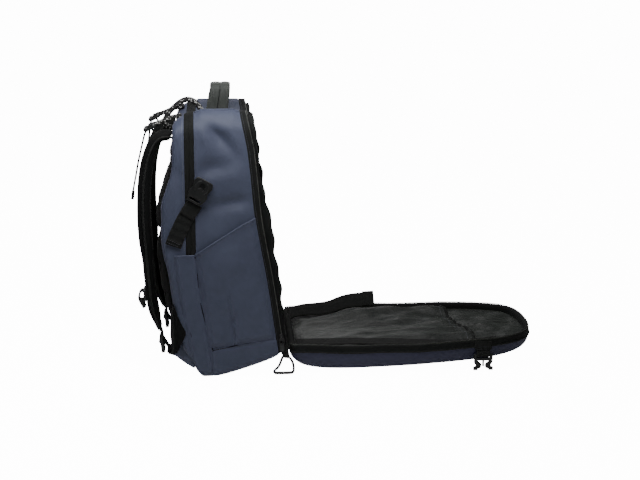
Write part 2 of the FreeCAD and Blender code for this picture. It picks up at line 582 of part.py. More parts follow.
for i in range(3):
    for j in range(2):
        x0 = 10.0 + i * (cs + 14.0)
        y0 = -cs - 5.0 + j * (cs + 10.0)
        loops.append([(x0, y0), (x0 + cs, y0), (x0 + cs, y0 + cs), (x0, y0 + cs)])
sk = loop_sketch(cell, "solar_cells_outline", "XY_Plane", loops)
cp = cell.newObject("PartDesign::Pad", "solar_cells_pad")
cp.Profile = sk
cp.Length = 0.35
cell.Tip = cp
place(cell, 78.0 + 10.0 * math.cos(math.radians(P["laminate_tilt"])) - 0.5 * math.sin(math.radians(P["laminate_tilt"])), 0.0,
      0.35 + 10.0 * math.sin(math.radians(P["laminate_tilt"])) + 0.5, tr)
NODES["solar_cells"] = cell

# charge controller and its outlet block, inside the pocket's closed end
TLC = math.cos(math.radians(P["laminate_tilt"]))
TLS = math.sin(math.radians(P["laminate_tilt"]))
pad("charge_controller", "XY_Plane", [[(0, -30), (44, -30), (44, 30), (0, 30)]], 9.2, x=122.0, z=13.7, rot=tr)
pad("usb_outlet", "YZ_Plane", [[(-13.3, 0.3), (13.3, 0.3), (13.3, 8.7), (-13.3, 8.7)],
                               [(-12.0, 1.7), (-1.0, 1.7), (-1.0, 7.3), (-12.0, 7.3)],
                               [(1.0, 1.7), (12.0, 1.7), (12.0, 7.3), (1.0, 7.3)]],
    14.6, x=122.0 + 44.0 * TLC, z=13.7 + 44.0 * TLS, rot=tr)

# ------------------------------------------------------------------ webbing tabs and prong buckles on the front panel's sides


def buckle_tab(name):
    o = pad(name, "YZ_Plane", [[(-2.9, 0.0), (2.9, 0.0), (2.9, 22.0), (-2.9, 22.0)]], e("webbing_w", 1, -4), x=347.0, y=-142.6, z=28.0)
    pocket(o, name + "_slot", "YZ_Plane", [[(-1.9, 1.0), (1.9, 1.0), (1.9, 4.8), (-1.9, 4.8)]], e("webbing_w", 1, -4), rev=True)
    return o


twins("buckle_tabs", buckle_tab)
s = rod(V(-17, 0, 0), V(17, 0, 0), 1.6)
s = s.fuse(box(-17.0, -13.4, -3.0, 3.0, -10.0, 1.6)).fuse(box(13.4, 17.0, -3.0, 3.0, -10.0, 1.6))
s = s.fuse(box(-17.0, 17.0, -3.0, 3.0, -10.0, -4.8))
s = s.fuse(box(-17.0, -12.0, -2.2, 2.2, -28.5, -10.0)).fuse(box(12.0, 17.0, -2.2, 2.2, -28.5, -10.0))
s = s.fuse(box(-2.2, 2.2, -2.2, 2.2, -22.0, -10.0))
far_twin("far_prong_buckle", feature("near_prong_buckle", s, x=360.0, y=-142.6, z=30.9))

# ------------------------------------------------------------------ check and write
doc.recompute()
bad = [o.Name for o in doc.Objects if "Invalid" in o.State or "Error" in o.State]
if bad:
    raise RuntimeError("failed objects: %s" % bad)
for label, o in NODES.items():
    if o.Shape.isNull() or not o.Shape.isValid():
        raise RuntimeError("bad shape: %s" % label)
    if o.Label != label:
        raise RuntimeError("label %s became %s" % (label, o.Label))
os.makedirs("parts", exist_ok=True)
for label, o in NODES.items():
    if o.TypeId == "PartDesign::Body" and o.Tip is None:
        raise RuntimeError("no tip: %s" % label)
    o.Shape.exportStep("parts/%s.step" % label)
print("wrote", len(NODES), "parts")
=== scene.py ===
import bpy, bmesh, math
from mathutils import Vector, Matrix, noise


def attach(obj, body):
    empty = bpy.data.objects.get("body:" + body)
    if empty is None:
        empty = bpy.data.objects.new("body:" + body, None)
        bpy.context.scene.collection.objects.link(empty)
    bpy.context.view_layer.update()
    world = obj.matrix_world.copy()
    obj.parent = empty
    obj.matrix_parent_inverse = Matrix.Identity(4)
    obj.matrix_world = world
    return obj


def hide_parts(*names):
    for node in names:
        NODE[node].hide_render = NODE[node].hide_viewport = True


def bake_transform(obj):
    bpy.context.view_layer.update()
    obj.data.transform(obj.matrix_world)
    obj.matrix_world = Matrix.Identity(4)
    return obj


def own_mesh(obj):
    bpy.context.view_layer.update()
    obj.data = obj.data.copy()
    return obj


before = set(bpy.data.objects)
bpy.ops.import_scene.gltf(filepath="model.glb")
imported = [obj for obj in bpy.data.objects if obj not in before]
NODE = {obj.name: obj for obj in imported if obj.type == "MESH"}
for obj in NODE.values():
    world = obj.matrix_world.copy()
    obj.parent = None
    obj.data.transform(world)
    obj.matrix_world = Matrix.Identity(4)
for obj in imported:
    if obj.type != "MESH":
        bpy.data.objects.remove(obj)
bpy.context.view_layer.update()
SH = -93.0                                   # row X of the fold line, mm


def V(x, y, z):
    """Design millimetres (X from the fold line) to metres in the row frame."""
    return Vector(((x + SH) / 1000.0, y / 1000.0, z / 1000.0))


# ---------------------------------------------------------------- camera and light
F = Vector((math.sin(math.radians(4.0)) * math.cos(math.radians(12.15)), math.cos(math.radians(4.0)) * math.cos(math.radians(12.15)), -math.sin(math.radians(12.15))))
Rv = Vector((math.cos(math.radians(4.0)), -math.sin(math.radians(4.0)), 0.0))
U = Rv.cross(F)
cam_data = bpy.data.cameras.new("camera")
cam_data.sensor_width = 36.0
cam_data.lens = 1300.0 / 640.0 * 36.0
cam_data.clip_end = 50.0
cam = bpy.data.objects.new("camera", cam_data)
cam.matrix_world = Matrix((
    (Rv.x, U.x, -F.x, -0.1955),
    (Rv.y, U.y, -F.y, -2.423),
    (Rv.z, U.z, -F.z, 0.745),
    (0, 0, 0, 1)))
bpy.context.scene.collection.objects.link(cam)
bpy.context.scene.camera = cam


def area(name, loc, target, size, power, size_y=None, col=(1, 1, 1)):
    d = bpy.data.lights.new(name, "AREA")
    d.energy = power
    d.color = col
    d.shape = "RECTANGLE"
    d.size = size
    d.size_y = size_y or size
    o = bpy.data.objects.new(name, d)
    o.location = loc
    o.rotation_euler = (Vector(target) - Vector(loc)).to_track_quat("-Z", "Y").to_euler()
    bpy.context.scene.collection.objects.link(o)
    return o


area("key_softbox", (-0.22, -0.44, 0.86), (-0.21, -0.10, 0.42), 0.50, 5.3, 0.34)
area("top_softbox", (-0.05, 0.10, 1.60), (0.0, 0.0, 0.20), 1.0, 4.5)
area("front_softbox", (1.0, -1.3, 0.9), (0.05, 0.0, 0.1), 0.8, 0.6)
area("left_softbox", (-1.6, -0.6, 0.9), (-0.2, 0.0, 0.3), 0.8, 0.9)
area("back_softbox", (-0.2, 1.6, 1.1), (-0.1, 0.0, 0.25), 1.0, 4.0)
world = bpy.data.worlds.new("studio")
bpy.context.scene.world = world
world.use_nodes = True
wt = world.node_tree
sky = wt.nodes["Background"]
sky.inputs[0].default_value = (1.0, 1.0, 1.0, 1.0)
seen = wt.nodes.new("ShaderNodeLightPath")
level = wt.nodes.new("ShaderNodeMapRange")
wt.links.new(seen.outputs["Is Camera Ray"], level.inputs[0])
level.inputs[3].default_value = 0.040
level.inputs[4].default_value = 14.0
wt.links.new(level.outputs[0], sky.inputs[1])


# ---------------------------------------------------------------- materials
class Nodes:
    def __init__(self, name):
        self.mat = bpy.data.materials.new(name)
        self.mat.use_nodes = True
        self.t = self.mat.node_tree
        self.bsdf = self.t.nodes["Principled BSDF"]
        self.co = self.t.nodes.new("ShaderNodeTexCoord").outputs["Object"]

    def put(self, node, i, val):
        if isinstance(val, bpy.types.NodeSocket):
            self.t.links.new(val, node.inputs[i])
        else:
            node.inputs[i].default_value = val

    def m(self, op, a, b=0.0, c=0.0):
        n = self.t.nodes.new("ShaderNodeMath")
        n.operation = op
        self.put(n, 0, a)
        self.put(n, 1, b)
        if op in ("MULTIPLY_ADD", "SMOOTH_MIN", "SMOOTH_MAX", "COMPARE", "WRAP"):
            self.put(n, 2, c)
        return n.outputs[0]

    def sep(self, v):
        n = self.t.nodes.new("ShaderNodeSeparateXYZ")
        self.put(n, 0, v)
        return n.outputs

    def noise(self, scale, detail=3.0, rough=0.55, vec=None, dist=0.0):
        n = self.t.nodes.new("ShaderNodeTexNoise")
        self.put(n, "Vector", vec or self.co)
        n.inputs["Scale"].default_value = scale
        n.inputs["Detail"].default_value = detail
        n.inputs["Roughness"].default_value = rough
        n.inputs["Distortion"].default_value = dist
        return n.outputs[0]

    def stretch(self, sx, sy, sz):
        n = self.t.nodes.new("ShaderNodeMapping")
        self.put(n, "Vector", self.co)
        n.inputs["Scale"].default_value = (sx, sy, sz)
        return n.outputs[0]

    def mix(self, f, a, b):
        n = self.t.nodes.new("ShaderNodeMix")
        n.data_type = "RGBA"
        self.put(n, 0, f)
        for i, v in ((6, a), (7, b)):
            if isinstance(v, bpy.types.NodeSocket):
                self.t.links.new(v, n.inputs[i])
            else:
                n.inputs[i].default_value = (*v, 1.0)
        return n.outputs[2]

    def ramp(self, f, lo, hi):
        n = self.t.nodes.new("ShaderNodeMapRange")
        self.put(n, 0, f)
        n.inputs[1].default_value = lo
        n.inputs[2].default_value = hi
        return n.outputs[0]

    def bump(self, h, strength, dist, normal=None):
        n = self.t.nodes.new("ShaderNodeBump")
        n.inputs["Strength"].default_value = strength
        n.inputs["Distance"].default_value = dist
        self.put(n, "Height", h)
        if normal is not None:
            self.put(n, "Normal", normal)
        return n.outputs[0]

    def weave(self, mm, twill=0.0):
        """Over-and-under threads on whichever face the surface turns to."""
        k = 2 * math.pi / (mm / 1000.0)
        x, y, z = self.sep(self.co)
        geo = self.t.nodes.new("ShaderNodeNewGeometry")
        nx, ny, nz = self.sep(geo.outputs["Normal"])
        if twill:
            z = self.m("ADD", z, self.m("MULTIPLY", x, twill))
        s = [self.m("SINE", self.m("MULTIPLY", v, k)) for v in (x, y, z)]
        a = self.m("MULTIPLY", self.m("MULTIPLY", s[0], s[2]), self.m("ABSOLUTE", ny))
        b = self.m("MULTIPLY", self.m("MULTIPLY", s[0], s[1]), self.m("ABSOLUTE", nz))
        c = self.m("MULTIPLY", self.m("MULTIPLY", s[1], s[2]), self.m("ABSOLUTE", nx))
        return self.m("ADD", self.m("ADD", a, b), c)

    def edge(self, lo=0.52, hi=0.62):
        geo = self.t.nodes.new("ShaderNodeNewGeometry")
        return self.ramp(geo.outputs["Pointiness"], lo, hi)


def fabric(name, col, light, rough=0.75, mm=0.9, weave=0.25, sheen=0.25, tint=(0.8, 0.85, 1.0), wear=0.35, folds=0.0, soft=0.5, spec=0.4, coat=0.0):
    n = Nodes(name)
    big = n.ramp(n.noise(9.0, 2.0), 0.30, 0.70)
    fine = n.ramp(n.noise(1400.0, 2.0), 0.25, 0.75)
    base = n.mix(n.m("MULTIPLY", big, 0.65), col, light)
    base = n.mix(n.m("MULTIPLY", fine, 0.22), base, tuple(min(1.0, c * 1.7 + 0.004) for c in light))
    base = n.mix(n.m("MULTIPLY", n.edge(), wear), base, tuple(min(1.0, c * 2.2 + 0.01) for c in light))
    n.t.links.new(base, n.bsdf.inputs["Base Color"])
    w = n.weave(mm)
    n.t.links.new(n.m("ADD", n.m("MULTIPLY", fine, 0.14), n.m("ADD", rough - 0.07, n.m("MULTIPLY", w, -0.04))), n.bsdf.inputs["Roughness"])
    nor = n.bump(n.noise(55.0, 4.0, 0.6), soft, 0.0016)
    if folds:
        nor = n.bump(n.noise(1.0, 3.0, 0.5, n.stretch(26, 60, 38), 0.8), folds, 0.004, nor)
    n.t.links.new(n.bump(w, weave, 0.00025, nor), n.bsdf.inputs["Normal"])
    n.bsdf.inputs["Sheen Weight"].default_value = sheen
    n.bsdf.inputs["Sheen Roughness"].default_value = 0.4
    n.bsdf.inputs["Sheen Tint"].default_value = (*tint, 1.0)
    n.bsdf.inputs["Specular IOR Level"].default_value = spec
    if coat:
        n.bsdf.inputs["Coat Weight"].default_value = coat
        n.bsdf.inputs["Coat Roughness"].default_value = 0.45
    return n.mat


def mesh_fabric(name, col, light, hole=3.0):
    """Spacer mesh: open cells over foam."""
    n = Nodes(name)
    v = n.t.nodes.new("ShaderNodeTexVoronoi")
    v.inputs["Scale"].default_value = 1000.0 / hole
    n.t.links.new(n.co, v.inputs["Vector"])
    cell = n.ramp(v.outputs["Distance"], 0.05, 0.45)
    big = n.noise(14.0, 2.0)
    base = n.mix(cell, tuple(c * 0.35 for c in col), light)
    base = n.mix(n.m("MULTIPLY", n.ramp(big, 0.35, 0.7), 0.4), base, col)
    n.t.links.new(base, n.bsdf.inputs["Base Color"])
    n.bsdf.inputs["Roughness"].default_value = 0.85
    n.bsdf.inputs["Sheen Weight"].default_value = 0.05
    n.bsdf.inputs["Specular IOR Level"].default_value = 0.25
    n.t.links.new(n.bump(cell, 0.6, 0.0008, n.bump(n.noise(70.0, 3.0), 0.35, 0.0015)), n.bsdf.inputs["Normal"])
    return n.mat


def webbing_mat(name, col, light, rib=1.6, speckle=False):
    """Ribbed webbing; the speckled one has light picks woven in."""
    n = Nodes(name)
    x, y, z = n.sep(n.co)
    k = 2 * math.pi / (rib / 1000.0)
    s = n.m("SINE", n.m("MULTIPLY", n.m("ADD", n.m("ADD", x, z), n.m("MULTIPLY", y, 0.6)), k))
    t = n.m("SINE", n.m("MULTIPLY", n.m("SUBTRACT", n.m("SUBTRACT", x, z), n.m("MULTIPLY", y, 0.6)), k * 1.6))
    w = n.m("MULTIPLY", s, t)
    base = n.mix(n.ramp(w, -0.6, 1.0), col, light)
    base = n.mix(n.m("MULTIPLY", n.ramp(n.noise(30.0, 2.0), 0.3, 0.7), 0.4), base, tuple(c * 0.6 for c in col))
    if speckle:
        v = n.t.nodes.new("ShaderNodeTexVoronoi")
        v.inputs["Scale"].default_value = 300.0
        n.t.links.new(n.co, v.inputs["Vector"])
        pick = n.m("GREATER_THAN", n.sep(v.outputs["Color"])[0], 0.62)
        near = n.m("LESS_THAN", v.outputs["Distance"], 0.48)
        base = n.mix(n.m("MULTIPLY", pick, near), base, (0.42, 0.42, 0.41))
    base = n.mix(n.m("MULTIPLY", n.edge(), 0.35), base, tuple(min(1, c * 2.5 + 0.01) for c in light))
    n.t.links.new(base, n.bsdf.inputs["Base Color"])
    n.t.links.new(n.m("ADD", 0.68, n.m("MULTIPLY", w, 0.06)), n.bsdf.inputs["Roughness"])
    n.bsdf.inputs["Sheen Weight"].default_value = 0.04
    n.bsdf.inputs["Specular IOR Level"].default_value = 0.25
    n.t.links.new(n.bump(w, 0.45, 0.0004), n.bsdf.inputs["Normal"])
    return n.mat


def plastic(name, col, rough=0.42, grain=0.3, spec=0.5, metal=0.0):
    n = Nodes(name)
    g = n.noise(1100.0, 3.0)
    wearm = n.edge(0.53, 0.66)
    base = n.mix(n.m("MULTIPLY", wearm, 0.5), col, tuple(min(1, c * 3 + 0.03) for c in col))
    base = n.mix(n.m("MULTIPLY", n.ramp(n.noise(60.0, 3.0), 0.35, 0.75), 0.3), base, tuple(c * 1.6 for c in col))
    n.t.links.new(base, n.bsdf.inputs["Base Color"])
    n.t.links.new(n.m("ADD", rough - 0.08, n.m("MULTIPLY", g, 0.18)), n.bsdf.inputs["Roughness"])
    n.bsdf.inputs["Metallic"].default_value = metal
    n.bsdf.inputs["Specular IOR Level"].default_value = spec
    n.t.links.new(n.bump(g, grain, 0.00012), n.bsdf.inputs["Normal"])
    return n.mat


M = {
    "shell": fabric("shell_fabric", (0.040, 0.048, 0.082), (0.056, 0.066, 0.108), 0.62, 0.8, 0.18, 0.16, (0.72, 0.72, 1.0), 0.25, soft=0.30, spec=0.42),
    "panel": fabric("panel_fabric", (0.026, 0.028, 0.058), (0.036, 0.038, 0.076), 0.62, 0.8, 0.18, 0.14, (0.68, 0.66, 1.0), 0.25, soft=0.35, spec=0.40),
    "lining": fabric("lining_fabric", (0.0078, 0.0096, 0.0086), (0.0155, 0.0184, 0.0168), 0.42, 0.6, 0.15, 0.25, (0.9, 1.0, 0.92), 0.30, folds=0.55, soft=0.6, spec=0.45),
    "tape": fabric("zipper_tape_fabric", (0.0040, 0.0046, 0.0044), (0.0075, 0.0085, 0.0080), 0.74, 1.0, 0.35, 0.04, (1, 1, 1), 0.30, soft=0.3, spec=0.20),
    "binding": fabric("binding_tape", (0.0040, 0.0043, 0.0042), (0.008, 0.0088, 0.0082), 0.68, 1.2, 0.5, 0.06, (1, 1, 1), 0.5, soft=0.3, spec=0.24),
    "handle": fabric("handle_fabric", (0.021, 0.0245, 0.0215), (0.032, 0.037, 0.033), 0.60, 1.3, 0.45, 0.25, (0.95, 1, 0.95), 0.4, soft=0.4, spec=0.40),
    "pad": mesh_fabric("spacer_mesh", (0.0045, 0.0047, 0.0048), (0.010, 0.0103, 0.0106)),
    "strap": fabric("strap_fabric", (0.0024, 0.0026, 0.0027), (0.0045, 0.0048, 0.0050), 0.80, 1.1, 0.35, 0.03, (1, 1, 1), 0.3, soft=0.3, spec=0.14),
    "webbing": webbing_mat("woven_webbing", (0.0036, 0.0041, 0.0037), (0.0085, 0.0094, 0.0084)),
    "braid": webbing_mat("speckled_braid", (0.006, 0.006, 0.006), (0.018, 0.018, 0.018), 2.2, True),
    "plastic": plastic("moulded_black_plastic", (0.0075, 0.0082, 0.0082), 0.38, 0.35),
    "metal": plastic("black_lacquered_metal", (0.009, 0.009, 0.0095), 0.30, 0.10, 0.5, 0.2),
    "teeth": plastic("zipper_coil", (0.018, 0.020, 0.016), 0.35, 0.10, 0.6),
    "seam": fabric("seam_shadow", (0.0042, 0.0050, 0.0095), (0.0060, 0.0070, 0.0130), 0.8, 1.0, 0.2, 0.02, spec=0.1),
    "thread": fabric("sewing_thread", (0.055, 0.058, 0.070), (0.10, 0.105, 0.125), 0.6, 0.4, 0.3, 0.1),
    "thread_dark": fabric("dark_thread", (0.020, 0.022, 0.030), (0.034, 0.036, 0.046), 0.6, 0.4, 0.3, 0.1),
    "laminate": plastic("laminate_film", (0.012, 0.015, 0.030), 0.18, 0.15, 0.6),
    "cells": plastic("silicon_cells", (0.010, 0.016, 0.050), 0.22, 0.10, 0.6),
    "controller": plastic("controller_case", (0.030, 0.031, 0.034), 0.45, 0.4),
    "outlet": plastic("outlet_steel", (0.45, 0.45, 0.46), 0.28, 0.05, 0.6, 1.0),
}


def cell_detail():
    """Thin grid fingers and bus bars on the cells."""
    mat = M["cells"]
    t = mat.node_tree
    n = Nodes("tmp")
    n.mat, n.t, n.bsdf = mat, t, t.nodes["Principled BSDF"]
    n.co = t.nodes.new("ShaderNodeTexCoord").outputs["Object"]
    x, y, z = n.sep(n.co)
    finger = n.m("GREATER_THAN", n.m("SINE", n.m("MULTIPLY", x, 2 * math.pi / 0.0025)), 0.93)
    bus = n.m("GREATER_THAN", n.m("SINE", n.m("MULTIPLY", n.m("ADD", y, 0.0175), 2 * math.pi / 0.035)), 0.995)
    blue = n.mix(n.ramp(n.noise(120.0, 2.0), 0.3, 0.7), (0.006, 0.011, 0.045), (0.012, 0.022, 0.085))
    t.links.new(n.mix(n.m("MAXIMUM", n.m("MULTIPLY", finger, 0.35), bus), blue, (0.42, 0.43, 0.45)), n.bsdf.inputs["Base Color"])


cell_detail()


# ---------------------------------------------------------------- mesh helpers
def smooth_line(pts, n):
    """n points along a smooth line through pts (any dimension)."""
    d = [0.0]
    for a, b in zip(pts, pts[1:]):
        d.append(d[-1] + math.sqrt(sum((q - p) ** 2 for p, q in zip(a, b))) ** 0.5)
    out, k = [], 0
    for i in range(n):
        s = d[-1] * i / (n - 1)
        while k < len(pts) - 2 and s > d[k + 1]:
            k += 1
        p1, p2 = pts[k], pts[k + 1]
        p0 = pts[k - 1] if k > 0 else tuple(2 * a - b for a, b in zip(p1, p2))
        p3 = pts[k + 2] if k + 2 < len(pts) else tuple(2 * b - a for a, b in zip(p1, p2))
        t0 = d[k - 1] if k > 0 else d[k] - (d[k + 1] - d[k])
        t1, t2 = d[k], d[k + 1]
        t3 = d[k + 2] if k + 2 < len(pts) else t2 + (t2 - t1)
        r = []
        for a, b, c, e in zip(p0, p1, p2, p3):
            m1 = ((c - b) / (t2 - t1) - (c - a) / (t2 - t0) + (b - a) / (t1 - t0)) * (t2 - t1)
            m2 = ((e - c) / (t3 - t2) - (e - b) / (t3 - t1) + (c - b) / (t2 - t1)) * (t2 - t1)
            t = (s - t1) / (t2 - t1)
            r.append((2 * t ** 3 - 3 * t * t + 1) * b + (t ** 3 - 2 * t * t + t) * m1 + (-2 * t ** 3 + 3 * t * t) * c + (t ** 3 - t * t) * m2)
        out.append(tuple(r))
    return out


def even(pts, n):
    """n points evenly spaced along a polyline."""
    d = [0.0]
    for a, b in zip(pts, pts[1:]):
        d.append(d[-1] + math.sqrt(sum((q - p) ** 2 for p, q in zip(a, b))))
    out, k = [], 0
    for i in range(n):
        s = d[-1] * i / (n - 1)
        while k < len(pts) - 2 and s > d[k + 1]:
            k += 1
        t = (s - d[k]) / max(1e-9, d[k + 1] - d[k])
        out.append(tuple(a + (b - a) * t for a, b in zip(pts[k], pts[k + 1])))
    return out


def line_of(pts):
    """Smooth y(x) through points sorted by x, flat beyond the ends."""
    fine = smooth_line(sorted(pts), 40 * len(pts))

    def f(x):
        if x <= fine[0][0]:
            return fine[0][1]
        for (a, b), (c, d) in zip(fine, fine[1:]):
            if a <= x <= c:
                return b + (d - b) * (x - a) / max(1e-9, c - a)
        return fine[-1][1]
    table = [f(-300 + i) for i in range(901)]

    def g(x):
        i = min(899, max(0, int(math.floor(x + 300))))
        return table[i] + (table[i + 1] - table[i]) * (min(max(x + 300, 0), 900) - i)
    return g


def sstep(a, b, x):
    t = min(1.0, max(0.0, (x - a) / (b - a)))
    return t * t * (3 - 2 * t)


def gauss(x, z, cx, cz, sx, sz, deg=0.0):
    c, s = math.cos(math.radians(deg)), math.sin(math.radians(deg))
    u, v = (x - cx) * c + (z - cz) * s, -(x - cx) * s + (z - cz) * c
    return math.exp(-0.5 * ((u / sx) ** 2 + (v / sz) ** 2))


def ripple(x, y, z, scale, seed=0.0):
    return noise.noise(Vector((x / scale + seed, y / scale - seed, z / scale + 2 * seed)))


def make(name, verts, faces, mat, body="bag", slot=None, smooth=True):
    me = bpy.data.meshes.new(name)
    me.from_pydata([tuple(v) for v in verts], [], faces)
    me.validate()
    bm = bmesh.new()
    bm.from_mesh(me)
    bmesh.ops.remove_doubles(bm, verts=bm.verts, dist=1e-6)
    bmesh.ops.recalc_face_normals(bm, faces=bm.faces)
    bm.to_mesh(me)
    bm.free()
    me.materials.append(mat)
    for p in me.polygons:
        p.use_smooth = smooth
    o = bpy.data.objects.new(name, me)
    bpy.context.scene.collection.objects.link(o)
    o["tt_body"] = body
    o["tt_slot"] = slot or ""
    return o


def grid(name, rows, mat, thick=0.0, sub=0, body="bag", slot=None, close_u=False, close_v=False, offset=0.0):
    """Sheet over rows of points in design mm, given a thickness and smoothing."""
    nu = len(rows[0])
    verts = [V(*p) for r in rows for p in r]
    faces = []
    nr = len(rows)
    for i in range(nr if close_v else nr - 1):
        for j in range(nu if close_u else nu - 1):
            a, b = i * nu + j, i * nu + (j + 1) % nu
            c, d = ((i + 1) % nr) * nu + (j + 1) % nu, ((i + 1) % nr) * nu + j
            faces.append((a, b, c, d))
    o = make(name, verts, faces, mat, body, slot)
    if sub:
        m = o.modifiers.new("sub", "SUBSURF")
        m.levels = m.render_levels = sub
    if thick:
        m = o.modifiers.new("thick", "SOLIDIFY")
        m.thickness = thick / 1000.0
        m.offset = offset
    bake(o)
    return o


def bake(o):
    dg = bpy.context.evaluated_depsgraph_get()
    me = bpy.data.meshes.new_from_object(o.evaluated_get(dg))
    o.modifiers.clear()
    old = o.data
    o.data = me
    bpy.data.meshes.remove(old)
    for p in me.polygons:
        p.use_smooth = True


def sweep(name, path, prof, mat, up=(0, 1, 0), body="bag", slot=None, scale=None, closed=False, cap=True):
    """Profile (a, b) swept along a path; a runs along up, b along the path's normal. All in design mm."""
    P = [Vector(p) for p in path]
    n = len(P)
    verts, faces = [], []
    m = len(prof)
    for i, p in enumerate(P):
        t = (P[(i + 1) % n] - P[i - 1]) if closed else (P[min(i + 1, n - 1)] - P[max(i - 1, 0)])
        t.normalize()
        w = Vector(up(i / (n - 1)) if callable(up) else up)
        w = (w - t * w.dot(t)).normalized()
        b = t.cross(w)
        sa, sb = scale(i / (n - 1)) if scale else (1.0, 1.0)
        for a, c in prof:
            q = p + w * (a * sa) + b * (c * sb)
            verts.append(V(q.x, q.y, q.z))
    for i in range(n if closed else n - 1):
        for j in range(m):
            a, b2 = i * m + j, i * m + (j + 1) % m
            c, d = ((i + 1) % n) * m + (j + 1) % m, ((i + 1) % n) * m + j
            faces.append((a, b2, c, d))
    if cap and not closed:
        faces.append(tuple(range(m)))
        faces.append(tuple((n - 1) * m + j for j in reversed(range(m))))
    return make(name, verts, faces, mat, body, slot)


def circle(r, n=10, ry=None):
    return [(r * math.cos(2 * math.pi * i / n), (ry or r) * math.sin(2 * math.pi * i / n)) for i in range(n)]


def flat(w, t, crown=0.0, n=5):
    """Webbing section: w wide, t thick, rounded edges, crown mm proud in the middle of its upper face."""
    out = []
    h, r = w / 2.0, t / 2.0
    for i in range(n):
        a = -math.pi / 2 + math.pi * i / (n - 1)
        out.append((h - r + r * math.cos(a), r * math.sin(a)))
    for i in range(1, 6):
        q = 1 - 2 * i / 6.0
        out.append((q * (h - r), r + crown * (1 - q * q)))
    for i in range(n):
        a = math.pi / 2 + math.pi * i / (n - 1)
        out.append((-h + r + r * math.cos(a), r * math.sin(a)))
    for i in range(1, 6):
        q = -1 + 2 * i / 6.0
        out.append((q * (h - r), -r))
    return out


def tube(name, path, r, mat, body="bag", slot=None, closed=False, n=8, up=(0, 1, 0)):
    return sweep(name, path, circle(r, n), mat, up, body, slot, closed=closed)


def stitches(name, path, mat=None, body="bag", slot=None, long=2.6, gap=1.5, r=0.36, lift=(0, 0, 0)):
    """A row of thread stitches, short capsules that dip into the cloth at their ends."""
    total = sum((Vector(b) - Vector(a)).length for a, b in zip(path, path[1:]))
    n = max(2, int(total / 0.5))
    pts = [Vector(p) + Vector(lift) for p in even(path, n)]
    step = total / (n - 1)
    verts, faces = [], []
    k, per, on = 0, int((long + gap) / step), int(long / step)
    while k + on < n:
        seg = [pts[k], pts[k + on // 2], pts[k + on]]
        t = (seg[2] - seg[0]).normalized()
        a = t.orthogonal().normalized()
        b = t.cross(a)
        base = len(verts)
        for q, rr in zip((seg[0] - t * 0.15, seg[0] + t * 0.25, seg[1], seg[2] - t * 0.25, seg[2] + t * 0.15), (0.3, 0.9, 1.0, 0.9, 0.3)):
            for i in range(5):
                c = q + (a * math.cos(i * 1.2566) + b * math.sin(i * 1.2566)) * r * rr
                verts.append(V(c.x, c.y, c.z))
        for i in range(4):
            for j in range(5):
                faces.append((base + i * 5 + j, base + i * 5 + (j + 1) % 5, base + (i + 1) * 5 + (j + 1) % 5, base + (i + 1) * 5 + j))
        faces.append(tuple(base + j for j in reversed(range(5))))
        faces.append(tuple(base + 20 + j for j in range(5)))
        k += per
    return make(name, verts, faces, mat or M["thread_dark"], body, slot)


def join(name, objs):
    """Several meshes as one piece."""
    bm = bmesh.new()
    mats = []
    for o in objs:
        k = len(bm.faces)
        bm.from_mesh(o.data)
        bm.faces.ensure_lookup_table()
        mt = o.data.materials[0]
        if mt not in mats:
            mats.append(mt)
        for f in bm.faces[k:]:
            f.material_index = mats.index(mt)
    me = bpy.data.meshes.new(name)
    bm.to_mesh(me)
    bm.free()
    for mt in mats:
        me.materials.append(mt)
    o = bpy.data.objects.new(name, me)
    o["tt_body"], o["tt_slot"] = objs[0]["tt_body"], objs[0]["tt_slot"]
    bpy.context.scene.collection.objects.link(o)
    for p in objs:
        bpy.data.objects.remove(p)
    return o


def box_piece(name, lo, hi, mat, bevel=1.0, body="bag", slot=None, move=None, segments=3):
    """Rounded block; move turns a corner point into a place."""
    bm = bmesh.new()
    bmesh.ops.create_cube(bm, size=1.0)
    for v in bm.verts:
        v.co = Vector([lo[i] + (hi[i] - lo[i]) * (v.co[i] + 0.5) for i in range(3)])
    bmesh.ops.bevel(bm, geom=bm.edges[:], offset=bevel, segments=segments, profile=0.6, affect="EDGES")
    for v in bm.verts:
        q = move(v.co) if move else v.co
        v.co = V(*q)
    me = bpy.data.meshes.new(name)
    bm.to_mesh(me)
    bm.free()
    me.materials.append(mat)
    for p in me.polygons:
        p.use_smooth = True
    o = bpy.data.objects.new(name, me)
    bpy.context.scene.collection.objects.link(o)
    o["tt_body"], o["tt_slot"] = body, slot or ""
    return o


def puff(o, voxel=0.005, pressure=4.0, cap=0.008, pin=None):
    """Swells a closed pad under its own pressure, as foam does in a sewn cover."""
    rest = o
    m = rest.modifiers.new("remesh", "REMESH")
    m.mode = "VOXEL"
    m.voxel_size = voxel
    bake(rest)
    start = [v.co.copy() for v in rest.data.vertices]
    if pin:
        g = rest.vertex_groups.new(name="pin")
        for v in rest.data.vertices:
            w = pin(v.co)
            if w > 0:
                g.add([v.index], w, "REPLACE")
    m = rest.modifiers.new("cloth", "CLOTH")
    s = m.settings
    s.quality = 5
    s.use_pressure = True
    s.uniform_pressure_force = pressure
    s.effector_weights.gravity = 0.0
    if pin:
        s.vertex_group_mass = "pin"
    m.point_cache.frame_start = 1
    m.point_cache.frame_end = 20
    sc = bpy.context.scene
    for f in range(1, 16):
        sc.frame_set(f)
    dg = bpy.context.evaluated_depsgraph_get()
    me = bpy.data.meshes.new_from_object(rest.evaluated_get(dg))
    for v, c in zip(me.vertices, start):
        d = v.co - c
        if d.length > cap:
            v.co = c + d.normalized() * cap
    rest.modifiers.clear()
    rest.data = me
    sc.frame_set(1)
    m = rest.modifiers.new("smooth", "SMOOTH")
    m.factor = 0.5
    m.iterations = 3
    bake(rest)


DONE = []


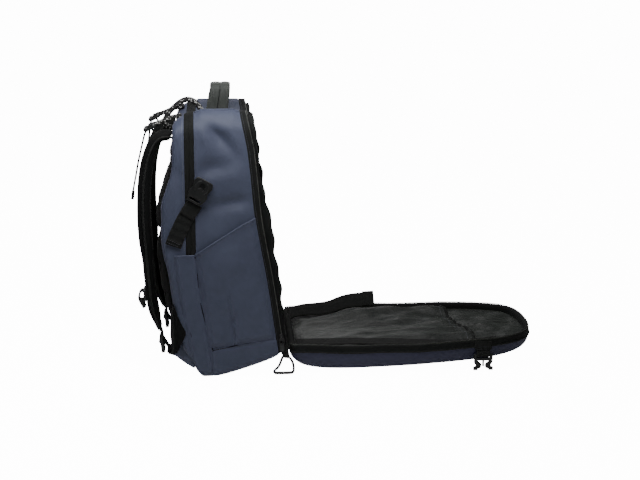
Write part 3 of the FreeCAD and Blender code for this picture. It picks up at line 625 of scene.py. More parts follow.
def done(o, *nodes, pad_fill=None, blend=None, sheet=None, squash=True):
    """Rides the piece on its body and hides the model parts it stands in for."""
    DONE.append(o)
    if nodes:
        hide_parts(*nodes)
    if blend:
        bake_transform(o)
        return o
    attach(o, o["tt_body"])
    if o["tt_body"] == "front_panel" and squash:
        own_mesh(o)
    return o


# ---------------------------------------------------------------- outline of the bag, design mm
base_line = line_of([(-190, 50), (-178, 29), (-166, 10), (-160, 3), (-152, 0), (-138, 0), (-122, 3), (-90, 12), (-53, 24), (-30, 33), (-16, 39), (-8, 43)])
back_line = line_of([(50, -190), (80, -200), (109, -204), (147, -210), (193, -216), (228, -224), (258, -227), (285, -226), (321, -225), (348, -216), (380, -206), (430, -204), (470, -202.5)])
rim_line = line_of([(30, -8), (44, -8), (67, -11), (124, -20), (180, -30), (236, -40), (297, -50), (364, -56.5), (417, -62), (453, -69), (485, -76)])
TAPE = 11.0
ARCH = [(142.0, 440.0), (140.2, 454.0), (134.5, 466.0), (123.0, 476.5), (108.0, 481.0), (92.0, 479.2), (70.0, 472.5), (40.0, 465.8), (15.0, 463.2), (0.0, 463.0)]
ARCH_FINE = smooth_line(ARCH, 33)
ARCH_FINE[-1] = (0.0, 463.0)


def hoop(n_leg, zb):
    """Half section from the bottom corner up the side to the middle of the top: (half width, height, kind)."""
    pts = [(142.0 - 9.0 * (1 - math.sin(a)), zb + 9.0 * (1 - math.cos(a)), 0.0) for a in (0.0, 0.39, 0.785, 1.18, 1.5708)]
    z0 = zb + 9.0
    pts += [(142.0, z0 + (440.0 - z0) * (i / n_leg), 0.0) for i in range(1, n_leg)]
    pts += [(y, z, 1.0) for y, z in ARCH_FINE]
    return pts


_rim = rim_line
rim_line = lambda z: _rim(z) + 3.0 * sstep(70, 200, z)


def crest(x, y, z):
    """Height of a point over the hoop: the top falls to the back, and its near shoulder stands a little higher."""
    if z <= 440.0:
        return z
    z = 440.0 + (z - 440.0) * (1.0 - 0.46 * min(1.0, max(0.0, (-160.0 - x) / 43.0)) ** 2.0)
    if y < 0:
        z += 5.0 * sstep(-166, -150, x) * sstep(-78, -98, x) * sstep(452, 478, z)
    return z


def folds(x, z, side):
    """How far the side cloth stands out of its flat, mm."""
    if side < 0:
        h = 2.2 * gauss(x, z, -120, 462, 60, 9)
        h -= 9.0 * gauss(x, z, -122, 441, 30, 8, -47)
        h += 2.4 * gauss(x, z, -147, 436, 10, 26)
        h += 2.2 * gauss(x, z, -92, 440, 9, 26, 8)
        h -= 6.5 * gauss(x, z, -136, 384, 26, 10, 12)
        h += 3.4 * gauss(x, z, -100, 368, 34, 15, 5)
        h -= 5.6 * gauss(x, z, -98, 322, 46, 8, 10)
        h -= 2.0 * gauss(x, z, -140, 300, 18, 24, 20)
    else:
        h = 2.0 * gauss(x, z, -110, 460, 60, 10) - 4.4 * gauss(x, z, -130, 436, 34, 8, 38) - 3.4 * gauss(x, z, -110, 370, 40, 13, 12)
        h += 2.0 * gauss(x, z, -120, 402, 40, 14, 20) - 2.6 * gauss(x, z, -105, 318, 44, 11, -16)
    h += 1.6 * ripple(x, side * 140, z, 42.0, 3.1) + 0.7 * ripple(x, side * 140, z, 17.0, 8.7)
    return h


def body_rows(n_u, n_leg, x0, x1, off=0.0, wav=1.0):
    """Rows across the hoop; x0(z), x1(z) give where a row starts and ends."""
    rows = []
    for i in range(n_u):
        u = i / (n_u - 1)
        half = []
        for y, z, k in hoop(n_leg, 0.0):
            zz = z if z >= 440 else z
            xx = x0(zz) + (x1(zz) - x0(zz)) * u
            if z < 440:
                zb = base_line(xx)
                z = zb + (440.0 - zb) * (z / 440.0)
                xx = x0(z) + (x1(z) - x0(z)) * u
            half.append((xx, y, z, k))
        row = []
        for sgn in (-1, 1):
            side = []
            for (xx, y, z, k), (_, yn, zn, _) in zip(half, half[1:] + [half[-1]]):
                edge = min(1.0, 4.2 * u + 0.12) * min(1.0, 4.2 * (1 - u) + 0.05)
                if k == 0.0:
                    f = wav * folds(xx, z, sgn) * edge * sstep(0, 22, z - base_line(xx)) * sstep(485, 447, z)
                    side.append((xx, sgn * (y + off + f), max(1.0, z - (off if z < base_line(xx) + 3 else 0))))
                else:
                    a = wav * 1.6 * ripple(xx, sgn * y, z, 30.0, 5.0) * edge * sstep(139, 100, y)
                    f = wav * folds(xx, z, sgn) * edge * sstep(485, 447, z) * sstep(120, 142, y)
                    out = sstep(100, 140, y)
                    side.append((xx, sgn * (y + (off + f) * out), crest(xx, sgn * y, z) + a + off * (1 - out)))
            row.append(side)
        rows.append(row[0] + list(reversed(row[1]))[1:])
    return rows


seam_x = -166.0
skin = grid("body_skin", body_rows(34, 60, lambda z: seam_x, lambda z: rim_line(z) - TAPE), M["shell"], 1.4, 1, "bag", "shell_fabric")
done(skin, "near_side_panel", "far_side_panel", "top_panel", pad_fill=0.2)
lining = grid("main_lining", body_rows(14, 36, lambda z: seam_x - 3.5, lambda z: rim_line(z) - 7.0, -4.6, 0.6), M["lining"], 0.7, 1, "bag", "lining")
done(lining, sheet=dict(flat=(0.16, 1.16), held="hung", rests_on=["divider_panel"]))


def gusset_rows(n_u, off=0.0):
    """Laptop compartment's side cloth, row by row up the side and over the top."""
    rows = []
    half = [(142.0, 10.0 + 430.0 * i / 60.0, 0) for i in range(60)] + [(y, z, 1) for y, z in ARCH_FINE]
    for i in range(n_u):
        u = i / (n_u - 1)
        row = []
        for sgn in (-1, 1):
            side = []
            for y, z, k in half:
                xb = back_line(z) if z > 50 else -190.0 + (50.0 - z) * 0.585
                xf = -183.0 + 17.0 * sstep(231, 225, z)
                x = xb + (xf - xb) * u
                d = x - xb
                r = 7.0
                drop = r * (1 - math.sqrt(max(0.0, 1 - (1 - min(1.0, d / r)) ** 2)))
                f = (1.8 * ripple(x, sgn * 142, z, 34.0, 1.7) - 1.8 * gauss(x, z, -200, 372, 7, 34, 8) + 1.2 * gauss(x, z, -196, 300, 8, 50)) * min(1, u * 4) * min(1, (1 - u) * 4)
                if k == 0:
                    side.append((x, sgn * (y + off + f - drop), z))
                else:
                    out = sstep(100, 140, y)
                    side.append((x, sgn * (y + (f - drop) * out), crest(x, sgn * y, z) + (f * 0.5 - drop) * (1 - out)))
            row.append(side)
        rows.append(row[0] + list(reversed(row[1]))[1:])
    return rows


gus = grid("laptop_gusset_skin", gusset_rows(12), M["shell"], 1.4, 1, "bag", "shell_fabric")
done(gus, "laptop_gussets", "top_laptop_gusset", pad_fill=0.2)

# back skin and base skin
rows = []
for j in range(30):
    v = j / 29.0
    row = []
    for i in range(41):
        y = -135.6 + 271.2 * i / 40.0
        ya = abs(y)
        top = next((a[1] + (b[1] - a[1]) * (ya - a[0]) / (b[0] - a[0]) for a, b in zip(ARCH_FINE, ARCH_FINE[1:]) if b[0] <= ya <= a[0]), 463.0) - 6.6
        top = crest(-203.0, y, top + 6.6) - 6.6
        z = 50.0 + (top - 50.0) * v
        x = back_line(z) + 0.4 - 1.2 * ripple(0, y, z, 60.0, 2.0)
        row.append((x, y, z))
    rows.append(row)
bk = grid("back_skin", rows, M["pad"], 1.6, 1, "bag", "mesh_pad")
done(bk, "back_panel", pad_fill=0.25)
path = [(-190, 50), (-178, 29.5), (-166, 10), (-160, 3.2), (-152, 0.7), (-138, 0.7), (-122, 3.4), (-106, 7.6), (-90, 12.3), (-72, 18.3), (-53, 24.3), (-30, 33.3), (-12, 42.2)]
rows = []
for x, z in smooth_line(path, 40):
    sag = max(0.0, 1.0 - abs((x + 88.0) / 46.0)) ** 0.7
    low = 0.0
    row = []
    for i in range(49):
        y = -133.4 + 266.8 * i / 48.0
        e = sstep(133, 96, abs(y))
        zf = max(1.2, z - e * 13.0 * sag)
        row.append((x, y, zf + 0.0))
    rows.append(row)
bs = grid("base_skin", rows, M["shell"], 1.4, 1, "bag", "shell_fabric")
done(bs, "base_panel", "base_sag", pad_fill=0.2)
ft = []
for sgn in (-1, 1):
    ft.append(box_piece("foot", (-176, sgn * 118 - 12, 17), (-160, sgn * 118 + 12, 21.5), M["binding"], 1.6,
                        move=lambda q: (q.x, q.y, q.z - (q.x + 176) * 1.05 + 2.6)))
done(join("heel_patches", ft))

# ---------------------------------------------------------------- covered laptop zipper, black band
rows = []
half = [(142.0, 228.0 + 212.0 * i / 40.0, 0) for i in range(40)] + [(y, z, 1) for y, z in ARCH_FINE]
prof = [(0.0, -0.4), (0.05, 1.2), (0.14, 1.7), (0.32, 1.8), (0.44, 1.7), (0.485, 0.3), (0.53, 1.5), (0.7, 1.8), (0.88, 1.7), (0.95, 1.2), (1.0, -0.4)]
for u, h in prof:
    row = []
    for sgn in (-1, 1):
        side = []
        for y, z, k in half:
            x = -183.5 + 18.2 * u + 0.6 * ripple(0, sgn * y, z, 30.0, 4.0)
            out = 1.0 if k == 0 else sstep(100, 140, y)
            side.append((x, sgn * (y + h * out), crest(x, sgn * y, z) + h * (1 - out)))
        row.append(side)
    rows.append(row[0] + list(reversed(row[1]))[1:])
band = grid("laptop_zipper_band", rows, M["tape"], 0.8, 1, "bag", "webbing")
done(band, "laptop_zipper_cover")


def hoop_line(x, off, n=1, low=None):
    """Line over the hoop at one X (a function of z or a number)."""
    pts = []
    leg = ([(142.0, low + (440.0 - low) * i / 40.0, 0) for i in range(40)] if low is not None else []) + [(y, z, 1) for y, z in ARCH_FINE]
    for sgn in (-1, 1):
        side = []
        for y, z, k in leg:
            out = 1.0 if k == 0 else sstep(100, 140, y)
            xx = x(z) if callable(x) else x
            side.append((xx, sgn * (y + off * out), crest(xx, sgn * y, z) + off * (1 - out)))
        pts.append(side)
    return pts[0] + list(reversed(pts[1]))[1:]


done(stitches("laptop_zipper_stitches", hoop_line(-186.4, 0.9, low=236), M["thread"], slot="webbing"))
done(stitches("body_seam_stitches", hoop_line(-162.6, 0.9, low=300), M["thread_dark"], slot="webbing"))
# piping where the side cloth meets the top
pp = []
for sgn in (-1, 1):
    pp.append(tube("p", [(x, sgn * 113.5, crest(x, sgn * 113.5, 480.9) + 0.3 * math.sin(x / 9.0)) for x in [seam_x + 2 + i * 3.0 for i in range(29)] if x < rim_line(478) - 12], 1.3, M["shell"], up=(0, 0, 1)))
done(join("top_seam_piping", pp))

# ---------------------------------------------------------------- opening: tape along the rim, coil, storm flap
rows = []
n_leg = 70
leg = [(142.0, 44.0 + 396.0 * i / n_leg, 0) for i in range(n_leg)] + [(y, z, 1) for y, z in ARCH_FINE]
tape_prof = [(-TAPE - 1.6, 0.5), (-TAPE, 1.5), (-TAPE + 2.0, 1.2), (-TAPE + 5.4, 1.0), (-4.4, 1.1), (-2.4, 1.3), (-0.8, 0.7), (0.0, -0.8), (-0.4, -3.0), (-1.6, -6.0), (-3.0, -9.4)]
for dx, h in tape_prof:
    row = []
    for sgn in (-1, 1):
        side = []
        for y, z, k in leg:
            out = 1.0 if k == 0 else sstep(100, 140, y)
            side.append((rim_line(z) + dx, sgn * (y + h * out), crest(rim_line(z) + dx, sgn * y, z) + h * (1 - out)))
        row.append(side)
    rows.append(row[0] + list(reversed(row[1]))[1:])
tp = grid("opening_tape", rows, M["tape"], 0.8, 1, "bag", "zipper_tape")
done(tp, "opening_zipper_tape")


def coil(name, line, mat, body, slot, r=1.25, pitch=1.7, across=None):
    """Zipper teeth: small rounded bars side by side along a line."""
    total = sum((Vector(b) - Vector(a)).length for a, b in zip(line, line[1:]))
    n = int(total / pitch)
    pts = [Vector(p) for p in even(line, n)]
    verts, faces = [], []
    for i in range(n):
        t = (pts[min(i + 1, n - 1)] - pts[max(i - 1, 0)]).normalized()
        a = Vector(across(pts[i]))
        a = (a - t * a.dot(t)).normalized()
        b = t.cross(a)
        base = len(verts)
        for s, rr in ((-1.9, 0.55), (-1.2, 1.0), (1.2, 1.0), (1.9, 0.55)):
            for q in range(6):
                c = pts[i] + a * s * r + (t * math.cos(q * 1.0472) * 0.42 * pitch + b * math.sin(q * 1.0472) * r * 0.6) * rr
                verts.append(V(c.x, c.y, c.z))
        for k in range(3):
            for j in range(6):
                faces.append((base + k * 6 + j, base + k * 6 + (j + 1) % 6, base + (k + 1) * 6 + (j + 1) % 6, base + (k + 1) * 6 + j))
        faces.append(tuple(base + j for j in reversed(range(6))))
        faces.append(tuple(base + 18 + j for j in range(6)))
    return make(name, verts, faces, mat, body, slot)


cl = coil("opening_zipper_coil", hoop_line(lambda z: rim_line(z) - 1.6, 1.0, low=52), M["teeth"], "bag", "zipper_tape", 0.8, 1.5, lambda p: (1, -0.25 if p.y < 0 else 0.25, 0.15))
done(cl)
done(stitches("opening_tape_stitches", hoop_line(lambda z: rim_line(z) - TAPE + 1.6, 2.0, low=56), M["thread_dark"], slot="zipper_tape"))

# storm flap: an inner strip that waves ahead of the rim
storm_ahead = line_of([(48, 3), (70, 5), (116, 9), (140, 8), (160, 10.5), (198, 11.5), (222, 10), (245, 13), (262, 12), (282, 15.5), (300, 14), (319, 10), (340, 6.5), (356, 4.5), (385, 3.2), (411, 5.5), (430, 5.5), (456, 9), (470, 11), (485, 11)])


def storm(low, steps):
    rows = []
    leg = [(142.0, low + (440.0 - low) * i / 110.0, 0) for i in range(110)] + [(y, z, 1) for y, z in smooth_line(ARCH, 60)]
    for s in steps:
        row = []
        for sgn in (-1, 1):
            side = []
            for y, z, k in leg:
                ahead = storm_ahead(z) if sgn < 0 else storm_ahead(500 - z) * 0.8 + 2
                if k:
                    ahead = ahead * sstep(60, 135, y) + (7.0 + 3.0 * math.sin(y / 7.0)) * (1 - sstep(60, 135, y))
                wob = 1.3 * math.sin(z / 7.5 + sgn) + 1.0 * ripple(0, sgn * y, z, 15.0, 6.0)
                x = rim_line(z) - 9.0 + (ahead + 9.0 + wob * s) * s
                inn = 8.4 + 3.4 * s + 1.6 * s * math.sin(z / 11.0 + 1.2 * sgn) + (0.8 * s * ripple(x, y, z, 12.0, 1.0))
                out = 1.0 if k == 0 else sstep(96, 140, y)
                side.append((x, sgn * (y - inn * out), z - inn * (1 - out)))
            row.append(side)
        rows.append(row[0] + list(reversed(row[1]))[1:])
    return rows


st = grid("storm_flap_cloth", storm(46.0, [i / 7.0 for i in range(8)]), M["tape"], 1.0, 1, "bag", "zipper_tape")
done(st, "storm_flap", sheet=dict(flat=(0.022, 1.15), held="hung", rests_on=["opening_tape"]))
ro = storm(46.0, [1.0])[0]
done(tube("storm_flap_binding", even(ro, 340), 1.35, M["binding"], slot="zipper_tape", n=8))

# ---------------------------------------------------------------- inside: divider and organiser
rows = []
for j in range(24):
    z = 31 + 430.0 * j / 23.0
    row = []
    for i in range(31):
        y = -137 + 274.0 * i / 30.0
        ya = abs(y)
        top = next((a[1] + (b[1] - a[1]) * (ya - a[0]) / (b[0] - a[0]) for a, b in zip(ARCH_FINE, ARCH_FINE[1:]) if b[0] <= ya <= a[0]), 463.0) - 5.0
        zz = 31 + (top - 31) * j / 23.0
        row.append((-171.5 + 1.1 * ripple(0, y, zz, 50.0, 7.0), y, zz))
    rows.append(row)
dv = grid("divider_cloth", rows, M["lining"], 3.2, 1, "bag", "lining")
done(dv, "divider_panel", pad_fill=0.3)
rows = []
for j in range(26):
    z = 130 + 190.0 * j / 25.0
    row = []
    for i in range(45):
        y = -110 + 220.0 * i / 44.0
        e = sstep(0, 12, 110 - abs(y)) * sstep(0, 10, z - 130)
        div = 1 - 0.75 * math.exp(-((y - 22) / 3.0) ** 2)
        row.append((-169.0 + 8.2 * e * (0.55 + 0.45 * (z - 130) / 190.0) * div + 0.8 * ripple(0, y, z, 22.0, 9.0) * e, y, z))
    rows.append(row)
og = grid("organiser_cloth", rows, M["pad"], 1.0, 1, "bag", "lining")
hem = tube("organiser_hem", [(-169.0 + 8.2 * sstep(0, 12, 110 - abs(y)) * (1 - 0.75 * math.exp(-((y - 22) / 3.0) ** 2)), y, 320.0) for y in [-109 + 218 * i / 60.0 for i in range(61)]], 2.2, M["binding"], up=(0, 0, 1))
done(join("organiser_pocket", [og, hem]), "inner_organizer", pad_fill=0.1)


# ---------------------------------------------------------------- side patches: pocket, rear strip, lower band
def coons(bottom, top, left, right, nu, nv):
    B, T, L, R = even(smooth_line(bottom, 60), nu), even(smooth_line(top, 60), nu), even(smooth_line(left, 60), nv), even(smooth_line(right, 60), nv)
    out = []
    for j in range(nv):
        v = j / (nv - 1)
        row = []
        for i in range(nu):
            u = i / (nu - 1)
            row.append(tuple((1 - v) * B[i][k] + v * T[i][k] + (1 - u) * L[j][k] + u * R[j][k]
                             - ((1 - u) * (1 - v) * B[0][k] + u * (1 - v) * B[-1][k] + (1 - u) * v * T[0][k] + u * v * T[-1][k]) for k in (0, 1)))
        out.append(row)
    return out


def patch(name, net, height, mat, sgn, thick, slot):
    rows = []
    nv, nu = len(net), len(net[0])
    for j, row in enumerate(net):
        rows.append([(x, sgn * (142.0 + height(x, z, i / (nu - 1), j / (nv - 1), sgn)), z) for i, (x, z) in enumerate(row)])
    return grid(name, rows, mat, thick, 1, "bag", slot)


xp = line_of([(54, -97.0), (98, -98.5), (126, -103), (168, -110)])      # pleat line by height


def pocket_h(x, z, u, v, sgn):
    e = sstep(0, 0.09, u) * sstep(0, 0.07, 1 - u) * sstep(0, 0.05, v)
    h = 1.6 + 3.6 * e + 2.2 * e * math.sin(math.pi * min(1, v * 0.9)) * math.sin(math.pi * u)
    h += e * (1.3 * ripple(x, 0, z, 30.0, 4.4) + 0.5 * ripple(x, 0, z, 13.0, 2.2))
    d = x - xp(z)
    amp = sstep(178, 84, z)
    if d < 0:
        h -= e * amp * 4.2 * math.exp(-((d + 3.0) / 17.0) ** 2)
    else:
        h += e * amp * 0.9 * math.exp(-(d / 14.0) ** 2)
    h += e * 2.4 * gauss(x, z, -120, 205, 26, 22, 30)
    h -= e * 1.8 * gauss(x, z, -70, 232, 8, 40, 10)
    h += 1.2 * sstep(0.93, 1.0, v)
    return h


def strip_h(x, z, u, v, sgn):
    e = sstep(0, 0.16, u) * sstep(0, 0.16, 1 - u) * sstep(0, 0.03, v)
    return 0.7 + e * (2.0 + 0.8 * ripple(x, 0, z, 26.0, 1.4)) + 0.5 * sstep(0.97, 1.0, v) - 1.6 * sstep(12, 0, z - base_line(x)) - 1.2 * sstep(0.1, 0, v)


def low_h(x, z, u, v, sgn):
    e = sstep(0, 0.04, u) * sstep(0, 0.18, 1 - v)
    return 0.8 + e * (1.9 + 0.8 * ripple(x, 0, z, 24.0, 2.9)) - 3.2 * sstep(9, 0, z - base_line(x))


for sgn, side in ((-1, "near"), (1, "far")):
    diag = [(-167, 229), (-140, 246), (-112, 263.5), (-84, 281), (rim_line(292) - TAPE - 1, 294)]
    net = coons([(-144, 54), (-104, 59), (-64, 64.5), (rim_line(70) - TAPE - 1, 70)], diag, [(-144, 54), (-152, 108), (-160, 165), (-167, 229)],
                [(rim_line(z) - TAPE - 1, z) for z in (70, 110, 150, 190, 230, 270, 294)], 46, 52)
    pk = patch("pocket_%s" % side, net, pocket_h, M["shell"], sgn, 1.3, "shell_fabric")
    # rolled hem along the slanted mouth
    ln = [(x, sgn * (142.0 + pocket_h(x, z, i / 45.0, 1.0, sgn) + 0.3), z + 0.2) for i, (x, z) in enumerate(net[-1])]
    roll = sweep("hem", ln, [(a, b) for a, b in circle(1.9, 10, 1.15)], M["shell"], up=(0, 0, 1))
    piece = join("side_pocket_%s" % side, [pk, roll])
    done(piece, *(["side_pockets"] if sgn < 0 else []), pad_fill=0.15)
    low = [(x, sgn * (142.0 + pocket_h(x, z, 0.5, 0.93, sgn) + 0.55), z - 0.4) for x, z in [(a + 2.2, b - 6.0) for a, b in even(diag, 60)][2:-2]]
    done(stitches("pocket_hem_stitches_%s" % side, low, M["thread_dark"], slot="webbing"))
    net2 = coons([(-168, 12.5), (-157, 1.2), (-148, 0.8), (-138, 0.9)], [(-205, 228), (-192, 228.5), (-180, 228.8), (-167, 229)],
                 [(-168, 12.5), (-180, 52), (-186, 90), (-196, 147), (-205, 228)], [(-138, 0.9), (-144, 54), (-152, 108), (-160, 165), (-167, 229)], 18, 60)
    stp = patch("rear_strip_%s" % side, net2, strip_h, M["shell"], sgn, 1.3, "shell_fabric")
    done(stp, sheet=dict(flat=(0.045, 0.235), held="stretched", rests_on=["body_skin"]))
    net3 = coons([(-138, 0.9), (-122, 3.4), (-90, 12.4), (-53, 24.4), (-30, 33.5), (rim_line(44) - TAPE, 39.5)],
                 [(-144, 54), (-104, 59), (-64, 64.5), (rim_line(70) - TAPE - 1, 70)], [(-138, 0.9), (-141, 27), (-144, 54)],
                 [(rim_line(44) - TAPE, 39.5), (rim_line(56) - TAPE, 55), (rim_line(70) - TAPE - 1, 70)], 44, 16)
    lb = patch("lower_band_%s" % side, net3, low_h, M["shell"], sgn, 1.3, "shell_fabric")
    done(lb, sheet=dict(flat=(0.046, 0.127), held="stretched", rests_on=["body_skin"]))
    done(stitches("lower_seam_stitches_%s" % side, [(x, sgn * 144.6, z - 3.6) for x, z in even([(-140, 54.5), (-104, 59), (-64, 64.5), (-26, 69)], 40)], M["thread_dark"], slot="webbing"))

# ---------------------------------------------------------------- back pads and lumbar pad


def pad_block(name, outline, y0, y1, mat, slot, ny=26, nx=30, crown=3.0, round_y=9.0, channels=()):
    """Closed cushion between the back cloth and an outer line given by height: (z, stand-off)."""
    f = line_of(outline)
    z0, z1 = outline[0][0], outline[-1][0]
    front, back = [], []
    for j in range(nx):
        z = z0 + (z1 - z0) * j / (nx - 1)
        rf, rb = [], []
        for i in range(ny):
            u = i / (ny - 1)
            y = y0 + (y1 - y0) * u
            e = math.sqrt(max(0.0, 1 - (1 - min(1.0, min(u, 1 - u) * (y1 - y0) / round_y)) ** 2))
            ez = math.sqrt(max(0.0, 1 - (1 - min(1.0, min(z - z0, z1 - z) / 9.0)) ** 2))
            h = (f(z) + crown * math.sin(math.pi * u)) * e * ez
            for c in channels:
                h -= 4.0 * math.exp(-((z - c - 5.0 * math.sin(math.pi * u)) / 3.2) ** 2) * e * ez
            xb = back_line(z)
            rf.append((xb - 0.6 - h, y, z))
            rb.append((xb - 0.4, y, z))
        front.append(rf)
        back.append(rb)
    n = nx * ny
    verts = [V(*p) for r in front for p in r] + [V(*p) for r in back for p in r]
    faces = []
    for j in range(nx - 1):
        for i in range(ny - 1):
            a = j * ny + i
            faces.append((a, a + 1, a + ny + 1, a + ny))
            faces.append((n + a, n + a + ny, n + a + ny + 1, n + a + 1))
    ring = [i for i in range(ny)] + [j * ny + ny - 1 for j in range(1, nx)] + [(nx - 1) * ny + i for i in reversed(range(ny - 1))] + [j * ny for j in reversed(range(1, nx - 1))]
    for a, b in zip(ring, ring[1:] + ring[:1]):
        faces.append((a, b, n + b, n + a))
    return make(name, verts, faces, mat, "bag", slot)


def groove(o, f, amount):
    """Presses sewn channels into a finished pad; f gives the distance to the nearest channel in mm."""
    for v in o.data.vertices:
        x, y, z = v.co.x * 1000 - SH, v.co.y * 1000, v.co.z * 1000
        if x < back_line(z) - 4.0:
            v.co.x += amount / 1000.0 * math.exp(-(f(y, z) / 3.0) ** 2)


for sgn, side in ((-1, "near"), (1, "far")):
    lo_, hi_ = sorted((sgn * 43.5, sgn * 118.5))
    bp = pad_block("back_pad_%s" % side, [(269, 5.0), (276, 8.4), (300, 8.6), (328, 7.5), (355, 6.5), (385, 4.6), (415, 4.4), (427, 2.5)], lo_, hi_, M["pad"], "mesh_pad", crown=1.0)
    puff(bp, 0.005, 3.0, 0.004, lambda c: 1.0 if c.x * 1000 - SH > back_line(c.z * 1000) - 2.0 else 0.0)
    groove(bp, lambda y, z: min(abs(z - 318 - 0.12 * abs(abs(y) - 80)), abs(z - 366), abs(z - 402)), 2.6)
    done(bp, *(["back_pads"] if sgn < 0 else []), pad_fill=0.6)
    loop = [(back_line(z) - 1.0, y, z) for y, z in even([(lo_, 272), (hi_, 272), (hi_, 425), (lo_, 425), (lo_, 272)], 130)]
    done(tube("back_pad_binding_%s" % side, loop, 1.7, M["binding"], slot="webbing", up=(1, 0, 0)))
lp = pad_block("lumbar_cushion", [(92, 3.0), (112, 12.0), (150, 14.0), (190, 14.0), (226, 11.6), (248, 8.0), (256, 3.0)], -118.5, 118.5, M["pad"], "mesh_pad", ny=40, nx=30, crown=0.6)
puff(lp, 0.006, 3.0, 0.005, lambda c: 1.0 if c.x * 1000 - SH > back_line(c.z * 1000) - 2.0 else 0.0)
groove(lp, lambda y, z: min(abs(abs(y) - 44), abs(z - 140 - 0.0009 * y * y), abs(z - 200 - 0.0006 * y * y)), 3.0)
done(lp, "lumbar_pad", pad_fill=0.6)
done(tube("lumbar_binding", [(back_line(z) - 1.0, y, z) for y, z in even([(-119, 93), (119, 93), (119, 255), (-119, 255), (-119, 93)], 240)], 1.7, M["binding"], slot="webbing", up=(1, 0, 0)))

# ---------------------------------------------------------------- shoulder straps
strap_mid = smooth_line([(-204.8, 436.0), (-214, 437.5), (-224, 436.0), (-234.5, 428.0), (-243.5, 411.5), (-250.5, 391), (-255.8, 364), (-258.6, 337), (-259.8, 300), (-259.0, 270), (-256.0, 225),
                          (-252.8, 180), (-250.6, 150), (-248.4, 127.5), (-243.5, 106), (-237.2, 88), (-234.4, 78.0)], 96)


def strap_scale(t):
    z = strap_mid[min(95, int(round(t * 95)))][1]
    return (1.0 - 0.12 * sstep(0.55, 1.0, t) - 0.10 * sstep(0.12, 0.0, t) - 0.16 * sstep(0.95, 1.0, t), (0.90 + 0.12 * sstep(0.0, 0.25, t)) * (1.0 - 0.28 * sstep(250, 205, z)) * (1.0 - 0.45 * sstep(120, 84, z)))


for sgn, side in ((-1, "near"), (1, "far")):
    Y = sgn * 85.0
    prof = []
    for i in range(28):
        a = 2 * math.pi * i / 28.0
        c, s = math.cos(a), math.sin(a)
        prof.append((29.0 * abs(c) ** 0.42 * (1 if c > 0 else -1), 10.2 * abs(s) ** 0.62 * (1 if s > 0 else -1)))
    sp = sweep("shoulder_strap_%s" % side, [(x, Y, z) for x, z in strap_mid], prof, M["strap"], slot="mesh_pad", scale=strap_scale)
    puff(sp, 0.0045, 2.2, 0.0022)
    done(sp, *(["shoulder_straps"] if sgn < 0 else []), pad_fill=0.7)
    edge = []
    for k in (-1, 1):
        ln = []
        for i, (x, z) in enumerate(strap_mid):
            ln.append((x, Y + k * 28.6 * strap_scale(i / 95.0)[0], z))
        edge.append(tube("e", ln, 1.9, M["binding"], slot="webbing"))
    done(join("strap_binding_%s" % side, edge))
    # webbing sewn along the outer face
    out = []
    for i in range(10, 96):
        (x0, z0), (x1, z1) = strap_mid[max(0, i - 1)], strap_mid[min(95, i + 1)]
        L = math.hypot(x1 - x0, z1 - z0)
        nx_, nz_ = (z1 - z0) / L, -(x1 - x0) / L
        th = 9.9 * strap_scale(i / 95.0)[1] + 0.7
        out.append((strap_mid[i][0] + nx_ * th, Y, strap_mid[i][1] + nz_ * th))
    rib = sweep("rib", out, flat(25.0, 1.4), M["webbing"], slot="webbing")
    tk = []
    for i in range(6, 78, 11):
        p, q = out[i], out[i + 1]
        tk.append(stitches("s", [(p[0] - 0.9, Y - 11.5, p[2]), (p[0] - 0.9, Y + 11.5, p[2])], M["thread_dark"]))
    done(join("strap_webbing_%s" % side, [rib] + tk))
    # webbing from the strap's end down through the ladder buckle, and its loose end
    lw = smooth_line([(-236.4, 84), (-235.2, 80), (-234.2, 76), (-233.2, 73), (-232.4, 69), (-231.4, 61.5), (-228.2, 55), (-224.6, 49), (-221.5, 44), (-219.0, 39.5)], 50)
    a1 = sweep("w", [(x, Y, z) for x, z in lw], flat(24.0, 3.2), M["webbing"], slot="webbing")
    done(a1, *(["lower_webbing"] if sgn < 0 else []))


def flat_ring(name, outline, holes, mat, place, thick, r=1.0, body="bag", slot=None):
    """Moulded frame: an outline with holes, given thickness and softened edges; place maps (a, b, depth)."""
    bm = bmesh.new()
    cu = bpy.data.curves.new("t", "CURVE")
    cu.dimensions = "2D"
    cu.fill_mode = "BOTH"
    for lp_ in [outline] + holes:
        s = cu.splines.new("POLY")
        s.points.add(len(lp_) - 1)
        for p, (a, b) in zip(s.points, lp_):
            p.co = (a, b, 0, 1)
        s.use_cyclic_u = True
    cu.extrude = thick / 2.0 - r
    cu.bevel_depth = r
    cu.bevel_resolution = 2
    cu.offset = -r
    to = bpy.data.objects.new("t", cu)
    bpy.context.scene.collection.objects.link(to)
    dg = bpy.context.evaluated_depsgraph_get()
    me = bpy.data.meshes.new_from_object(to.evaluated_get(dg))
    bpy.data.objects.remove(to)
    bm.from_mesh(me)
    bmesh.ops.remove_doubles(bm, verts=bm.verts, dist=0.01)
    for v in bm.verts:
        v.co = V(*place(v.co.x, v.co.y, v.co.z))
    bmesh.ops.recalc_face_normals(bm, faces=bm.faces)
    out = bpy.data.meshes.new(name)
    bm.to_mesh(out)
    bm.free()
    out.materials.append(mat)
    for p in out.polygons:
        p.use_smooth = True
    o = bpy.data.objects.new(name, out)
    bpy.context.scene.collection.objects.link(o)
    m = o.modifiers.new("w", "WEIGHTED_NORMAL")
    bake(o)
    o["tt_body"], o["tt_slot"] = body, slot or ""
    return o


def rounded(x0, x1, y0, y1, r, n=4):
    pts = []
    for cx, cy, a0 in ((x1 - r, y1 - r, 0), (x0 + r, y1 - r, 90), (x0 + r, y0 + r, 180), (x1 - r, y0 + r, 270)):
        for i in range(n + 1):
            a = math.radians(a0 + 90 * i / n)
            pts.append((cx + r * math.cos(a), cy + r * math.sin(a)))
    return pts


